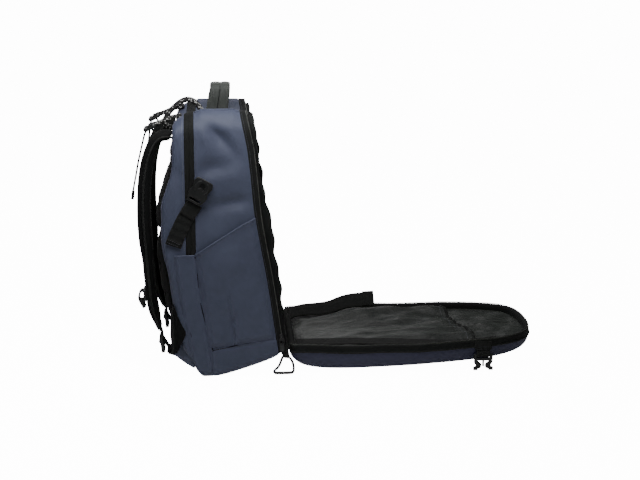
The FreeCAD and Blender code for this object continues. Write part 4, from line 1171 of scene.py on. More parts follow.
lad = []
for sgn in (-1, 1):
    Y = sgn * 85.0
    ca, sa = math.cos(math.radians(12)), math.sin(math.radians(12))

    def place(a, b, d, Y=Y):
        # a across, b down the buckle, d through it
        return (-234.4 + b * 0.12 + d * 0.99, Y + a, 66.4 - b * 0.99 + d * 0.12)
    holes = [rounded(-12.5, 12.5, 4.0, 9.0, 1.5), rounded(-12.5, 12.5, 12.2, 19.0, 1.5), rounded(-12.5, 12.5, 22.5, 29.0, 1.5)]
    lad.append(flat_ring("ladder", rounded(-15.4, 15.4, 0.0, 33.0, 4.0), holes, M["plastic"], place, 6.6, 1.4, slot="buckle_plastic"))
    lad.append(sweep("bar", [(-234.6, Y - 13, 55.6), (-234.6, Y + 13, 55.6)], circle(4.2, 12, 4.2), M["plastic"], up=(0, 0, 1)))
done(join("ladder_buckle_pair", lad), "ladder_buckles")

# wings that carry the lower webbing, in side cloth with a bound edge
wi, wb = [], []
for sgn in (-1, 1):
    rows = []
    for j in range(18):
        v = j / 17.0
        row = []
        # from the top corner down to the webbing, and along the side seam to the base
        left = [(-190.0, 84.0), (-201.5, 64.0), (-213.5, 38.5), (-199.0, 24.5)]
        right = [(-183.5, 82.0), (-180.0, 58.0), (-176.0, 32.0), (-172.0, 16.0)]
        k = min(2, int(v * 3.0))
        f = v * 3.0 - k
        lx, lz = (left[k][0] + (left[k + 1][0] - left[k][0]) * f, left[k][1] + (left[k + 1][1] - left[k][1]) * f)
        rx, rz = (right[k][0] + (right[k + 1][0] - right[k][0]) * f, right[k][1] + (right[k + 1][1] - right[k][1]) * f)
        for i in range(12):
            u = i / 11.0
            x, z = lx + (rx - lx) * u, lz + (rz - lz) * u
            y = 106.0 + 33.0 * u ** 0.7 + 1.6 * math.sin(u * 5.0) * math.sin(v * 6.0)
            row.append((x, sgn * (y + 20.0 * (1 - u) * (1 - v)), z))
        rows.append(row)
    wi.append(grid("wing", rows, M["shell"], 2.4, 1, "bag", "shell_fabric"))
    wb.append(tube("wb", [tuple(r[0]) for r in rows], 1.9, M["binding"], slot="webbing"))
done(join("wing_cloth", wi), "strap_wings", pad_fill=0.2)
done(join("wing_binding", wb))
ww = []
for sgn in (-1, 1):
    pts = [(-219.6, sgn * 86.0, 37.2), (-217.0, sgn * 90.0, 38.5), (-213.5, sgn * 97.0, 39.5), (-210.0, sgn * 104.0, 40.5), (-206.0, sgn * 111.0, 42.0)]
    ww.append(sweep("ww", smooth_line(pts, 24), flat(20.0, 1.6), M["webbing"], up=(0.35, 0.0, 0.93), slot="webbing"))
    lp2 = [(-221.5 + 2.4 * math.cos(a), sgn * 85.0 - 11.0 + 22.0 * 0, 34.5 + 2.4 * math.sin(a)) for a in [i * math.pi / 8 for i in range(16)]]
    ww.append(sweep("wl", [(-220.6 + 3.0 * math.cos(a), sgn * 85.0, 35.6 + 3.2 * math.sin(a)) for a in [i * math.pi / 9 for i in range(18)]], flat(22.0, 1.3), M["webbing"], closed=True, slot="webbing"))
done(join("wing_webbing_loops", ww), "wing_webbing")

# ---------------------------------------------------------------- load lifters with their buckles and tails
ll, lb_, lt = [], [], []
for sgn in (-1, 1):
    Y = sgn * 78.0
    pts = [(-246, Y, 450.2), (-239.5, Y, 454.4), (-232, Y, 456.6), (-222, Y, 460.4), (-212, Y, 464.6), (-204.5, Y, 467.4), (-196.0, Y, 469.0), (-188.0, Y, 471.6)]
    ll.append(sweep("l", smooth_line(pts, 40), [(a, b + 1.4) for a, b in flat(20.0, 7.0, 0.9)], M["braid"], slot="braid"))
    pts = [(-242, Y, 448.5), (-238, Y, 442.5), (-234.0, Y, 436.0)]
    ll.append(sweep("l2", smooth_line(pts, 14), flat(20.0, 2.0), M["webbing"], slot="webbing"))

    def place(a, b, d, Y=Y):
        return (-237.2 - b * 0.88 - d * 0.47, Y + a, 454.4 - b * 0.47 + d * 0.88)
    lb_.append(flat_ring("b", rounded(-13.4, 13.4, -2.0, 19.0, 3.5), [rounded(-10.4, 10.4, 3.0, 6.4, 1.2), rounded(-10.4, 10.4, 9.2, 13.6, 1.4)], M["plastic"], place, 6.0, 1.4, slot="buckle_plastic"))
    for b0 in (1.0, 16.2):
        lb_.append(sweep("roll", [place(-12.6, b0, 1.6), place(12.6, b0, 1.6)], circle(4.6, 14), M["plastic"], up=(0, 0, 1)))
    lb_.append(sweep("keeper", [place(-10.0, 7.8, 3.6), place(10.0, 7.8, 3.6)], circle(3.6, 12), M["webbing"], up=(0, 0, 1)))
    if sgn < 0:
        pts = [(-250.5, Y, 446.0), (-254.0, Y, 441.5), (-258.6, Y, 426), (-263.6, Y, 406), (-267.8, Y, 389), (-272.8, Y, 364), (-277.0, Y, 344), (-279.6, Y, 330), (-280.6, Y, 322.0)]
    else:
        pts = [(-250.5, Y, 446.0), (-253.0, Y, 440.0), (-255.4, Y, 424), (-258.6, Y, 402), (-264.0, Y, 375), (-267.6, Y, 345), (-268.6, Y, 322)]
    lt.append(sweep("t", smooth_line(pts, 60), flat(12.0, 3.2), M["webbing"], slot="webbing"))
    (ex, _, ez) = pts[-1]
    lt.append(sweep("t2", smooth_line([(ex - 0.6, Y, ez - 1.4), (ex + 0.2, Y, ez + 2.0), (ex + 0.8, Y, ez + 8.0), (ex + 1.6, Y, ez + 13.0)], 14), [(a, b - 0.6) for a, b in flat(12.4, 5.4)], M["webbing"], slot="webbing"))
done(join("load_lifter_straps", ll), "load_lifters")
done(join("load_lifter_buckles", lb_), "lifter_buckles")
done(join("load_lifter_tails", lt), "lifter_tails")

# speckled strap arching from the back edge to the top
pts = smooth_line([(-205.0, 448.0), (-211.5, 448.4), (-217.2, 451.6), (-219.2, 460.0), (-214.6, 470.5), (-206.2, 481.2), (-199.0, 487.6), (-191.6, 493.6), (-184.0, 497.4), (-177.5, 498.8), (-169.0, 496.6), (-160.6, 489.6),
                   (-155.0, 481.0), (-151.5, 471.0)], 96)
hs = sweep("haul", [(x, -46.5, z - 1.6) for x, z in pts], flat(13.0, 8.6, 1.2), M["braid"], slot="braid")
done(hs, "haul_strap")

# ---------------------------------------------------------------- chest strap halves
ang = math.atan2(9.0, 157.0)


def on_strap(q):
    c, s = math.cos(ang), math.sin(ang)
    return (-258.6 + q[0] * c - q[2] * s, q[1], 132.0 + q[0] * s + q[2] * c)


for sgn, side in ((-1, "near"), (1, "far")):
    Y = sgn * 85.0

    def place(a, b, d, Y=Y):
        return on_strap((-2.6 - d, Y + a, b))
    pl = flat_ring("c", rounded(-16.8, 16.8, 0.2, 23.8, 3.5), [rounded(-13.4, 13.4, 3.2, 6.6, 1.2), rounded(-13.4, 13.4, 17.4, 20.8, 1.2)], M["plastic"], place, 4.6, 1.1, body="%s_chest" % side, slot="buckle_plastic")
    done(pl, "%s_chest_slider" % side)
    lo = smooth_line([(-4.6, 0, 18.6), (-7.6, 0, 19.6), (-11.0, 0, 17.0), (-13.4, 0, 11.5), (-14.2, 0, 6.5), (-12.6, 0, 2.0), (-8.4, 0, 1.6), (-5.4, 0, 3.8)], 30)
    wl = sweep("cw", [on_strap((a, Y, c)) for a, b, c in lo], flat(20.0, 3.4), M["webbing"], body="%s_chest" % side, slot="buckle_plastic")

    def place2(a, b, d, Y=Y):
        return on_strap((-12.4 + b * 0.42 + d * 0.9, Y + a, 3.4 - b * 0.90 + d * 0.42))
    bk_ = flat_ring("cb", rounded(-10.6, 10.6, 0.0, 17.6, 3.0), [rounded(-7.6, 7.6, 2.6, 6.2, 1.2), rounded(-7.6, -1.6, 9.0, 14.6, 1.2), rounded(1.6, 7.6, 9.0, 14.6, 1.2)], M["plastic"], place2, 6.4, 1.3, body="%s_chest" % side, slot="buckle_plastic")
    done(join("chest_buckle_%s" % side, [wl, bk_]), "%s_chest_buckle" % side)

# ---------------------------------------------------------------- top handle
hp = [(-60.4, 469.5), (-60.8, 480), (-61.0, 492), (-60.6, 505.0), (-58.4, 514.0), (-53.0, 519.6), (-44.0, 521.4), (-30.0, 521.0), (-10.0, 520.0)]
hp = [(y, z + 3.0 * sstep(485, 515, z)) for y, z in hp]
hpath = hp + [(-y, z - 6.0 * sstep(480, 512, z)) for y, z in reversed(hp)]
lean = lambda z: -124.5 + 6.0 * sstep(476, 522, z)
prof = []
for i in range(40):
    a = 2 * math.pi * i / 40.0
    c, s = math.cos(a), math.sin(a)
    w = 19.2 * abs(c) ** 0.62 * (1 if c > 0 else -1)
    h = 3.6 * abs(s) ** 0.75 * (1 if s > 0 else -1)
    prof.append((w, h * (1.0 - 0.62 * math.exp(-(w / 2.0) ** 2))))


def hscale(t):
    m = min(t, 1 - t)
    return (1.03 - 0.07 * sstep(0.0, 0.25, m), 0.72 + 0.28 * sstep(0.06, 0.30, m))


hd = sweep("grab_handle", [(lean(z), y, z) for y, z in smooth_line(hpath, 70)], prof, M["handle"], up=(1, 0, 0), body="handle", slot="handle_fabric", scale=hscale)
m = hd.modifiers.new("s", "SUBSURF")
m.levels = m.render_levels = 1
bake(hd)
for v in hd.data.vertices:
    x, y, z = v.co * 1000.0
    v.co += v.co.normalized() * 0.0 + Vector((0, 0, 0.0004)) * ripple(x, y, z, 12.0)
done(hd, "top_handle", pad_fill=0.5, blend=("bag", "handle", (-0.2175, 0, 0.4705), (-0.2175, 0, 0.4870)))
hs_ = []
for k in (-1, 1):
    hs_.append(stitches("hs", [(-118.5 + k * 3.2, y, z + (3.3 if abs(y) < 45 else 1.5)) for y, z in smooth_line(hp[5:] + [(-y, z - 6.0) for y, z in reversed(hp[5:])], 60)], M["thread_dark"], slot="handle_fabric", lift=(0, 0, 0.2)))
# painted shade: a thin dark tape tube up the middle groove of the handle's near leg stands for the groove's shade
hs_.append(tube("seam", [(lean(z), y - (2.9 if y < -52 else 0.0), z) for y, z in smooth_line(hp[1:6], 30)], 0.7, M["tape"], body="handle", slot="handle_fabric", up=(1, 0, 0)))
done(join("handle_stitching_and_groove_shade", hs_), blend=("bag", "handle", (-0.2175, 0, 0.4705), (-0.2175, 0, 0.4870)))
an = []
for sgn in (-1, 1):
    an.append(box_piece("a", (-144.5, -1.2, 0.0), (-104.5, 1.2, 8.5), M["handle"], 1.1, "bag", "webbing", move=lambda q, s=sgn: (q.x, s * 63.6 + q.y, 469.2 + q.z)))
    for a0, a1 in (((-141, 470.8), (-108, 476.0)), ((-141, 476.0), (-108, 470.8)), ((-141, 476.2), (-108, 476.2)), ((-141, 470.6), (-108, 470.6))):
        an.append(stitches("x", [(a0[0], sgn * 65.0, a0[1]), (a1[0], sgn * 65.0, a1[1])], M["thread_dark"]))
done(join("handle_anchor_patches", an), "handle_anchors")

# ---------------------------------------------------------------- rings and their tabs
rt = []
for sgn in (-1, 1):
    yy = sgn * 145.6
    lp_ = smooth_line([(-8, yy, 46.5), (-6.2, yy - 0.0, 42), (-5.6, yy + sgn * 2.5, 38.6), (-5.4, yy + sgn * 2.3, 35.6), (-5.4, yy, 34.2), (-5.4, yy - sgn * 2.3, 35.6), (-5.8, yy - sgn * 2.4, 39.4), (-7, yy - sgn * 1.0, 43.5), (-8.2, yy - sgn * 1.4, 49.0), (-9.0, yy - sgn * 2.6, 56.0)], 44)
    rt.append(sweep("rt", lp_, flat(13.4, 1.5), M["webbing"], up=(1, 0, -0.15), slot="webbing"))
    rt.append(box_piece("rb", (-14.4, -1.3, 41.0), (-0.6, 1.4, 57.0), M["webbing"], 0.9, "bag", "webbing", move=lambda q, s=sgn: (q.x - (q.z - 43) * 0.18, s * 143.8 + q.y, q.z)))
    for zz in (46.0, 49.5, 53.0):
        rt.append(stitches("rs", [(-12.0 - (zz - 43) * 0.18, sgn * 145.4, zz), (-3.4 - (zz - 43) * 0.18, sgn * 145.4, zz)], M["thread_dark"]))
done(join("ring_tab_webbing", rt), "ring_tabs")
ring_pts = [(-12.0, 35.4), (-9.0, 37.2), (-4.6, 37.3), (-0.4, 35.8), (3.2, 31.6), (6.2, 26.0), (8.0, 19.4), (8.4, 12.4), (7.4, 7.4), (3.6, 5.6), (-8.0, 5.3), (-19.0, 5.4), (-25.4, 5.8), (-27.4, 8.4), (-25.0, 12.0), (-20.6, 16.2), (-17.0, 22.0), (-14.6, 28.6)]
for sgn, side in ((-1, "near"), (1, "far")):
    ln = smooth_line(ring_pts + [ring_pts[0]], 120)[:-1]
    verts = []
    rg = sweep("snap_ring_%s" % side, [(x, sgn * 145.6, z) for x, z in ln], circle(2.4, 10), M["metal"], body="%s_d_ring" % side, slot="wire_metal", closed=True)
    bar = sweep("bar", smooth_line([(-25.4, sgn * 145.6, 5.5), (-22, sgn * 145.6, 5.5), (-10, sgn * 145.6, 5.4), (2, sgn * 145.6, 5.5), (6.4, sgn * 145.6, 6.0)], 30), circle(2.7, 10, 2.9), M["metal"], body="%s_d_ring" % side, slot="wire_metal")
    done(join("snap_ring_%s" % side, [rg, bar]), "%s_ring" % side)

# ---------------------------------------------------------------- compression webbing and socket buckles
cw = []
T17 = math.radians(30.0)


def on_buckle(q, sgn=-1):
    """x across, y out of the bag, z towards the mouth."""
    c, s = math.cos(T17), math.sin(T17)
    return (-165.5 + q[0] * c + q[2] * s, sgn * (147.0 + q[1]), 330.5 - q[0] * s + q[2] * c)


for sgn, side in ((-1, "near"), (1, "far")):
    cx = [(-205.8, 245.6), (-202.5, 255), (-197.0, 268), (-190, 283), (-182, 298), (-174.5, 310), (-168.0, 318.5)]
    pth = [(x, sgn * (145.4 - 0.5 * math.sin(i)), z) for i, (x, z) in enumerate(smooth_line(cx, 40))]
    cw.append(sweep("cw", pth, flat(29.0, 1.7, 0.25), M["webbing"], up=(0.93, 0, -0.36), slot="webbing"))
    # folded end of the tail
    cw.append(sweep("cwf", [(x, y + sgn * 0.9, z) for x, y, z in pth[:7]], flat(29.4, 1.8, 0.3), M["webbing"], up=(0.93, 0, -0.36), slot="webbing"))
    cw.append(sweep("cwl", [(x, sgn * 147.6, z) for x, z in smooth_line([(-181, 300), (-175, 309), (-168.0, 318.5), (-164.6, 323.4)], 16)], flat(28.0, 1.6, 0.3), M["webbing"], up=(0.9, 0, -0.43), slot="webbing"))
    for k in (0.0, 5.0):
        cw.append(stitches("cs", [(-217.2 + k * 0.42, sgn * 147.9, 254.2 + k * 0.9), (-193.4 + k * 0.42, sgn * 147.9, 243.4 + k * 0.9)], M["thread_dark"]))
    body = "%s_socket" % side
    # socket shell: two faces with side windows
    outl = [(-12.0, -5.2), (12.0, -5.2), (13.8, -2.5), (15.2, 1.0), (17.2, 6.5), (17.6, 12.0), (16.0, 15.5), (15.2, 20.5), (16.2, 25.5), (17.6, 29.5), (17.2, 34.5), (14.8, 39.0), (9.0, 39.8), (-9.0, 39.8), (-14.8, 39.0), (-17.2, 34.5),
            (-17.6, 29.5), (-16.2, 25.5), (-15.2, 20.5), (-16.0, 15.5), (-17.6, 12.0), (-17.2, 6.5), (-15.2, 1.0), (-13.8, -2.5)]
    slotw = rounded(-11.4, 11.4, -1.8, 2.4, 1.2)
    bot = flat_ring("b0", outl, [slotw], M["plastic"], lambda a, b, d, s=sgn: on_buckle((a, 1.3 + d, b), s), 2.5, 0.7, body=body, slot="buckle_plastic")
    win = [(-4.6, 20.0), (-2.6, 24.0), (2.6, 24.0), (4.6, 20.0), (5.4, 27.0), (3.6, 33.5), (-3.6, 33.5), (-5.4, 27.0)]
    top = flat_ring("b1", outl, [slotw, [(x * 1.0, z) for x, z in win]], M["plastic"], lambda a, b, d, s=sgn: on_buckle((a, 6.5 + d, b), s), 2.5, 0.7, body=body, slot="buckle_plastic")
    parts_ = [bot, top]
    for k in (-1, 1):
        parts_.append(box_piece("wl", (k * 14.4 - 2.0, 1.0, 6.0), (k * 14.4 + 2.0, 6.6, 12.5), M["plastic"], 0.8, body, "buckle_plastic", move=lambda q, s=sgn: on_buckle(q, s)))
        parts_.append(box_piece("wu", (k * 14.2 - 1.6, 1.0, 30.0), (k * 14.2 + 1.6, 6.6, 38.2), M["plastic"], 0.8, body, "buckle_plastic", move=lambda q, s=sgn: on_buckle(q, s)))
    parts_.append(box_piece("wm", (-13.0, 1.0, 5.0), (13.0, 6.6, 13.0), M["plastic"], 0.9, body, "buckle_plastic", move=lambda q, s=sgn: on_buckle(q, s)))
    parts_.append(sweep("bar", [on_buckle((-12.6, 4.2, -4.0), sgn), on_buckle((12.6, 4.2, -4.0), sgn)], circle(2.0, 10), M["plastic"], up=(0, 1, 0), body=body))
    parts_.append(sweep("bar", [on_buckle((-12.6, 4.2, 3.6), sgn), on_buckle((12.6, 4.2, 3.6), sgn)], circle(1.8, 10), M["plastic"], up=(0, 1, 0), body=body))
    for k in (-1, 1):
        rp = [on_buckle((k * x, 7.9, z), sgn) for x, z in smooth_line([(8.0, 16.0), (11.0, 20.0), (11.6, 26.0), (9.6, 33.0), (6.0, 36.0)], 20)]
        parts_.append(tube("ridge", rp, 0.8, M["plastic"], body=body))
    done(join("socket_buckle_%s" % side, parts_), "%s_socket_buckle" % side)
done(join("compression_straps", cw), "compression_webbing")

# ---------------------------------------------------------------- zipper sliders and pulls
LN = math.radians(9.2)


def on_slider(q, sgn=-1):
    """Slider frame: x ahead, y out of the side, z up the zipper."""
    x0, z0 = -(66.0 - 50.0) * math.tan(LN) - 6.3 / math.cos(LN), 66.0
    c, s = math.cos(LN), math.sin(LN)
    return (x0 + q[0] * c - q[2] * s, sgn * (144.0 + q[1]), z0 + q[0] * s + q[2] * c)


for sgn, side in ((-1, "near"), (1, "far")):
    b = "%s_slider" % side
    mv = lambda q, s=sgn: on_slider(q, s)
    ps = [box_piece("s0", (-6.2, -1.4, 0.6), (0.0, 1.2, 13.4), M["metal"], 0.9, b, "wire_metal", move=mv),
          box_piece("s1", (-5.4, 0.9, 2.0), (-0.8, 2.0, 12.0), M["metal"], 0.5, b, "wire_metal", move=mv),
          sweep("s2", [on_slider(p, sgn) for p in smooth_line([(-3.1, 1.2, 1.4), (-3.1, 3.6, 1.9), (-3.1, 5.0, 3.4), (-3.1, 5.1, 7.6), (-3.1, 3.6, 9.2), (-3.1, 1.2, 9.6)], 24)], flat(2.4, 1.2), M["metal"], up=(1, 0, 0), body=b)]
    done(join("zipper_slider_%s" % side, ps), "%s_zipper_slider" % side)
    px, pz = -12.913, 70.934
    b = "%s_pull" % side
    bar = [(px - 3.6, pz), (px - 1.5, pz + 0.3), (px + 1.5, pz + 0.3), (px + 3.6, pz), (px + 3.9, pz - 4), (px + 3.4, pz - 9.6), (px, pz - 10.4), (px - 3.4, pz - 9.6), (px - 3.9, pz - 4)]
    lp_ = [(x, sgn * 147.2, z) for x, z in smooth_line(bar + [bar[0]], 60)[:-1]]
    pp = [tube("pb", lp_, 0.8, M["metal"], body=b, slot="buckle_plastic", closed=True)]
    pp.append(flat_ring("pt", rounded(-4.2, 4.2, -24.0, -8.6, 2.6), [rounded(-2.2, 2.2, -11.6, -9.9, 0.7)], M["plastic"], lambda a, c, d, s=sgn: (px + a, s * (147.2 + d), pz + c), 2.3, 0.7, body=b, slot="buckle_plastic"))
    for k in range(4):
        pp.append(tube("pr", [(px - 2.8, sgn * 148.3, pz - 14.2 - 2.4 * k), (px + 2.8, sgn * 148.3, pz - 14.2 - 2.4 * k)], 0.45, M["plastic"], body=b, up=(0, 0, 1)))
    done(join("zipper_pull_%s" % side, pp), "%s_zipper_pull" % side)
ps = [box_piece("l0", (-181.3, 144.0, 369.4), (-174.7, 146.6, 381.6), M["metal"], 0.8, "laptop_slider", "wire_metal"),
      sweep("l1", smooth_line([(-178, 146.2, 371), (-178, 147.2, 372.2), (-178, 147.3, 375), (-178, 146.6, 377.4)], 12), flat(2.2, 0.9), M["metal"], up=(1, 0, 0), body="laptop_slider")]
done(join("laptop_slider_piece", ps), "laptop_zipper_slider")
ps = [flat_ring("lp", rounded(-2.7, 2.7, -22.0, -0.2, 1.6), [rounded(-1.4, 1.4, -4.6, -1.6, 0.6)], M["plastic"], lambda a, c, d: (-178.0 + a, 148.5 + d, 378.0 + c), 1.6, 0.5, body="laptop_pull", slot="buckle_plastic")]
for k in range(4):
    ps.append(tube("lr", [(-179.8, 149.25, 367.0 - 2.4 * k), (-176.2, 149.25, 367.0 - 2.4 * k)], 0.35, M["plastic"], body="laptop_pull", up=(0, 0, 1)))
done(join("laptop_pull_piece", ps), "laptop_zipper_pull")

# ---------------------------------------------------------------- front panel lying open
FP = "front_panel"
RIM = [(3, 128.0), (8, 135.5), (20, 137.5), (50, 141.0), (100, 145.5), (150, 148.5), (200, 149.4), (250, 148.0), (300, 144.0), (345, 138.5),
       (380, 131.5), (405, 123.5), (427, 112.0), (444, 97.0), (456, 78.0), (464, 52.0), (467.3, 26.0), (467.8, 0.0)]
half = smooth_line(RIM, 90)
half[-1] = (467.8, 0.0)
OUT = [(x, -w) for x, w in half] + [(x, w) for x, w in reversed(half[:-1])]          # near hinge corner, round the tip, far hinge corner
OUT = even(OUT, 200)
BACK = [(3.0, 128.0 - 256.0 * i / 41.0) for i in range(1, 41)]
LOOP = OUT + BACK                                                                     # closed outline
TLT = math.tan(math.radians(2.2))


def rim_z(x):
    return 54.0 + 1.5 * sstep(210, 280, x) + 4.6 * sstep(270, 455, x) + 0.7 * math.sin(x / 23.0)


def low(x):
    return 4.2 + (x - 88.0) * TLT


def ringz(k, dx0, dx1, zf):
    """Outline squeezed to k across and between dx0 and dx1 along."""
    out = []
    for x, y in LOOP:
        t = (x - 3.0) / 464.8
        xx = dx0 + (dx1 - dx0) * t
        out.append((xx, y * k, zf(xx, y * k)))
    return out


rings = []
for i in range(15):
    a = (i / 14.0) * math.pi / 2
    k = 0.80 + 0.20 * math.cos(a) ** 0.85
    q = 1 - (k - 0.80) / 0.20
    s = math.sin(a) ** 0.9

    def zf(x, y, s=s):
        top = rim_z(x) - 12.0
        wob = 1.6 * ripple(x, y, 0, 60.0, 3.3) + 1.1 * ripple(x, y, 0, 26.0, 5.1)
        lz = low(x) + 24.0 * math.exp(-(max(0.0, x) / 30.0) ** 1.1)
        return top - (top - lz) * s + wob * math.sin(math.pi * s) * 0.9
    rings.append(ringz(k, 3.0 + 33.0 * q, 467.8 - 57.0 * q, zf))
for i in range(1, 9):
    t = i / 8.0
    k = 0.80 * (1 - t)
    x0, x1 = 36.0 + (230.0 - 36.0) * t, 410.8 - (410.8 - 232.0) * t
    rings.append(ringz(max(k, 0.002), x0, x1, lambda x, y, t=t: low(x) + 24.0 * math.exp(-(max(0.0, x) / 30.0) ** 1.1) * (1 - t) + 0.25 * t))
sh = grid("front_panel_skin", rings, M["panel"], 1.8, 1, FP, "panel_fabric", close_u=True, offset=0.0)
done(sh, "front_panel_shell", pad_fill=0.35)

# rim band with binding, coil and a seam roll where it meets the outer cloth
prof = [(0.4, -13.2), (1.6, -11.6), (1.2, -9.5), (0.7, -6.0), (0.9, -3.0), (0.6, -1.2), (-0.6, 0.1), (-2.6, 0.5), (-5.0, 0.2), (-7.2, -0.8), (-8.4, -3.4), (-8.8, -8.0), (-9.0, -13.0)]
rows = []
n = len(LOOP)
nrm = []
for i in range(n):
    a, b = LOOP[i - 1], LOOP[(i + 1) % n]
    t = Vector((b[0] - a[0], b[1] - a[1]))
    t.normalize()
    nrm.append((t.y, -t.x))
for i in range(n):
    sx, sy = nrm[i]
    if i >= 200:
        sx, sy = -1.0, 0.0
    nrm[i] = (sx, sy)
if sum((LOOP[i][0] - 230) * nrm[i][0] + LOOP[i][1] * nrm[i][1] for i in range(0, 200)) < 0:
    nrm = [(-a, -b) if i < 200 else (a, b) for i, (a, b) in enumerate(nrm)]


def rim_at(i, d, h):
    x, y = LOOP[i]
    w = 0.8 * ripple(x, y, 0, 18.0, 2.0)
    return (x + nrm[i][0] * (d + (w if d < -1 else 0)), y + nrm[i][1] * (d + (w if d < -1 else 0)), rim_z(x) + h + 0.5 * w)


rows = [[rim_at(i, d, h) for i in range(n)] for d, h in prof]
rb = grid("front_panel_rim_band", rows, M["tape"], 0.9, 1, FP, "zipper_tape", close_u=True)
done(rb, "front_panel_zipper_tape")
seam = [rim_at(i, 1.3, -12.2) for i in range(200)]
done(tube("front_panel_seam_roll", seam, 1.5, M["binding"], FP, "zipper_tape", up=(0, 0, 1)))
line = [rim_at(i, -1.0, 0.9) for i in range(200)]
done(coil("front_panel_coil", line, M["teeth"], FP, "zipper_tape", 0.8, 1.6, lambda p: (0.3, 0.3, 1.0) if abs(p.y) > 90 else (0.9, 0.0, 0.5)))
done(stitches("front_panel_rim_stitches", [rim_at(i, -5.4, 0.75) for i in range(200)], M["thread_dark"], FP, "zipper_tape"))

# lining: falls from the band into the tray, with soft creases
rings = []
for i in range(26):
    t = i / 25.0
    d = t * 130.0
    ring = []
    for j in range(n):
        x, y = LOOP[j]
        k = 1 - t
        cx = min(max(x, 60.0), 380.0)
        X = cx + (x + nrm[j][0] * -8.2 - cx) * k
        Y_ = (y + nrm[j][1] * -8.2) * k
        if t > 0.97:
            X = 60 + (X - 60) * 1.0
        inw = t * 140.0
        floor_z = max(low(X) + 4.6, 9.0) + 26.0 + 1.0 * sstep(300, 440, X)
        zt = rim_z(X) - 12.0
        z = zt + (floor_z - zt) * (1 - math.exp(-inw / 13.0))
        cr = 3.2 * ripple(X, Y_ * 1.0, 0, 34.0, 9.2) + 2.2 * ripple(X * 0.45 + Y_, Y_ * 0.5 - X * 0.2, 0, 11.0, 4.4)
        cr += 1.6 * gauss(X, Y_, 395, 0, 12, 70, 18) - 1.5 * gauss(X, Y_, 415, -30, 9, 60, -24)
        z += cr * sstep(0.0, 0.12, t)
        ring.append((X, Y_, z))
    rings.append(ring)
ln_ = grid("front_panel_lining_cloth", rings, M["lining"], 0.8, 1, FP, "lining", close_u=True)
done(ln_, "front_panel_lining")

# large inside pocket with a gathered hem
rows = []
for j in range(60):
    v = j / 59.0
    row = []
    for i in range(54):
        u = i / 53.0
        y = -104.0 + 208.0 * u
        tip = 350.0 - 44.0 * u + 5.0 * math.sin(math.pi * u) + 3.0 * math.sin(9.0 * u)
        x = 20.0 + (tip - 20.0) * v
        e = sstep(0, 0.10, u) * sstep(0, 0.10, 1 - u) * sstep(0, 0.05, v)
        base = 36.0 + 8.5 * sstep(20, 180, x) - 1.0 * sstep(280, 330, x)
        bag = (4.5 + 6.5 * v + 3.5 * sstep(0.45, 0.95, u)) * e * (1 - 0.40 * math.exp(-((u - 0.52) / 0.11) ** 2)) + 11.0 * math.exp(-((u - 0.86) / 0.10) ** 2) * sstep(50, 150, x) * (1 - 0.35 * sstep(0.85, 1.0, v))
        gath = sstep(0.70, 1.0, v)
        z = base + bag + e * (4.4 * ripple(x * 0.6, y, 0, 38.0, 6.1) + 2.6 * ripple(x * 0.35, y * 1.3, 0, 15.0, 1.6))
        z += gath * e * (1.9 * math.sin(y / 4.1 + 1.4 * math.sin(y / 17.0)) * (0.4 + 0.6 * gath) + 1.2 * math.sin(y / 9.3))
        z += e * 4.6 * gauss(x, y, 240, 26, 80, 10, -14) + e * 4.0 * gauss(x, y, 180, -52, 90, 9, 7) - e * 4.2 * gauss(x, y, 215, 4, 80, 9, 10) - e * 3.0 * gauss(x, y, 290, 44, 40, 9, -30)
        row.append((x, y, z))
    rows.append(row)
ip = grid("inner_pocket_cloth", rows, M["lining"], 1.0, 1, FP, "lining")
done(ip, "inner_pocket", sheet=dict(flat=(0.225, 0.325), held="gathered", rests_on=["front_panel_lining_cloth"]))
hem = [(p[0] + 0.8, p[1], p[2] + 0.6) for p in rows[-1]]
h1 = sweep("hem", smooth_line(hem, 160), circle(2.1, 10, 2.9), M["binding"], up=(0, 0, 1), body=FP, slot="lining")
h2 = stitches("hs", [(p[0], p[1], p[2] + 0.9) for p in rows[-3]], M["thread"], FP)
h3 = stitches("hs", [(p[0], p[1], p[2] + 0.9) for p in rows[-5]], M["thread_dark"], FP)
h4 = sweep("piping", smooth_line([(p[0], p[1], p[2] + 0.5) for p in rows[-5]], 160), circle(0.9, 8), M["lining"], up=(0, 0, 1), body=FP)
done(join("inner_pocket_hem_piece", [h1, h2, h3, h4]), "inner_pocket_hem")

# flat strap along the near edge and loose strap on the far side
pts = smooth_line([(14, -102), (60, -103), (120, -105), (190, -108), (250, -111), (300, -112.5), (345, -108), (372, -101), (396, -91)], 120)
ns = sweep("inside_strap_near", [(x, y, 51.0 - 3.0 * sstep(120, 320, x) + 1.1 * ripple(x, y, 0, 36.0, 3.0)) for x, y in pts], flat(30.0, 2.0, 0.3), M["webbing"],
           up=(0, 1, 0.10), body=FP, slot="webbing", scale=lambda t: (1.0 - 0.35 * sstep(0.3, 0.85, t), 1.0))
done(ns, "near_inner_strap")
cen = smooth_line([(10, 52.0), (24, 57.0), (40, 60.0), (58, 61.0), (78, 62.4), (96, 66.0), (112, 72.5), (130, 77.5), (150, 80.0), (168, 81.0), (181, 81.4)], 76)
tw = lambda t: (0.0, 1.0, 0.40 + 0.55 * t)
fs = sweep("inside_strap_far", [(x, 89.0 + 3.0 * math.sin(x / 40.0), z) for x, z in cen], flat(34.0, 2.2, 0.5), M["webbing"], up=tw, body=FP, slot="webbing")
fe = sweep("fse", [(x, 89.0 + 3.0 * math.sin(x / 40.0), z + 1.8) for x, z in cen[-12:]], flat(34.6, 2.6, 0.4), M["webbing"], up=lambda t: (0.0, 1.0, 0.86 + 0.09 * t), body=FP, slot="webbing")
done(join("inside_strap_far", [fs, fe]), "far_inner_strap")

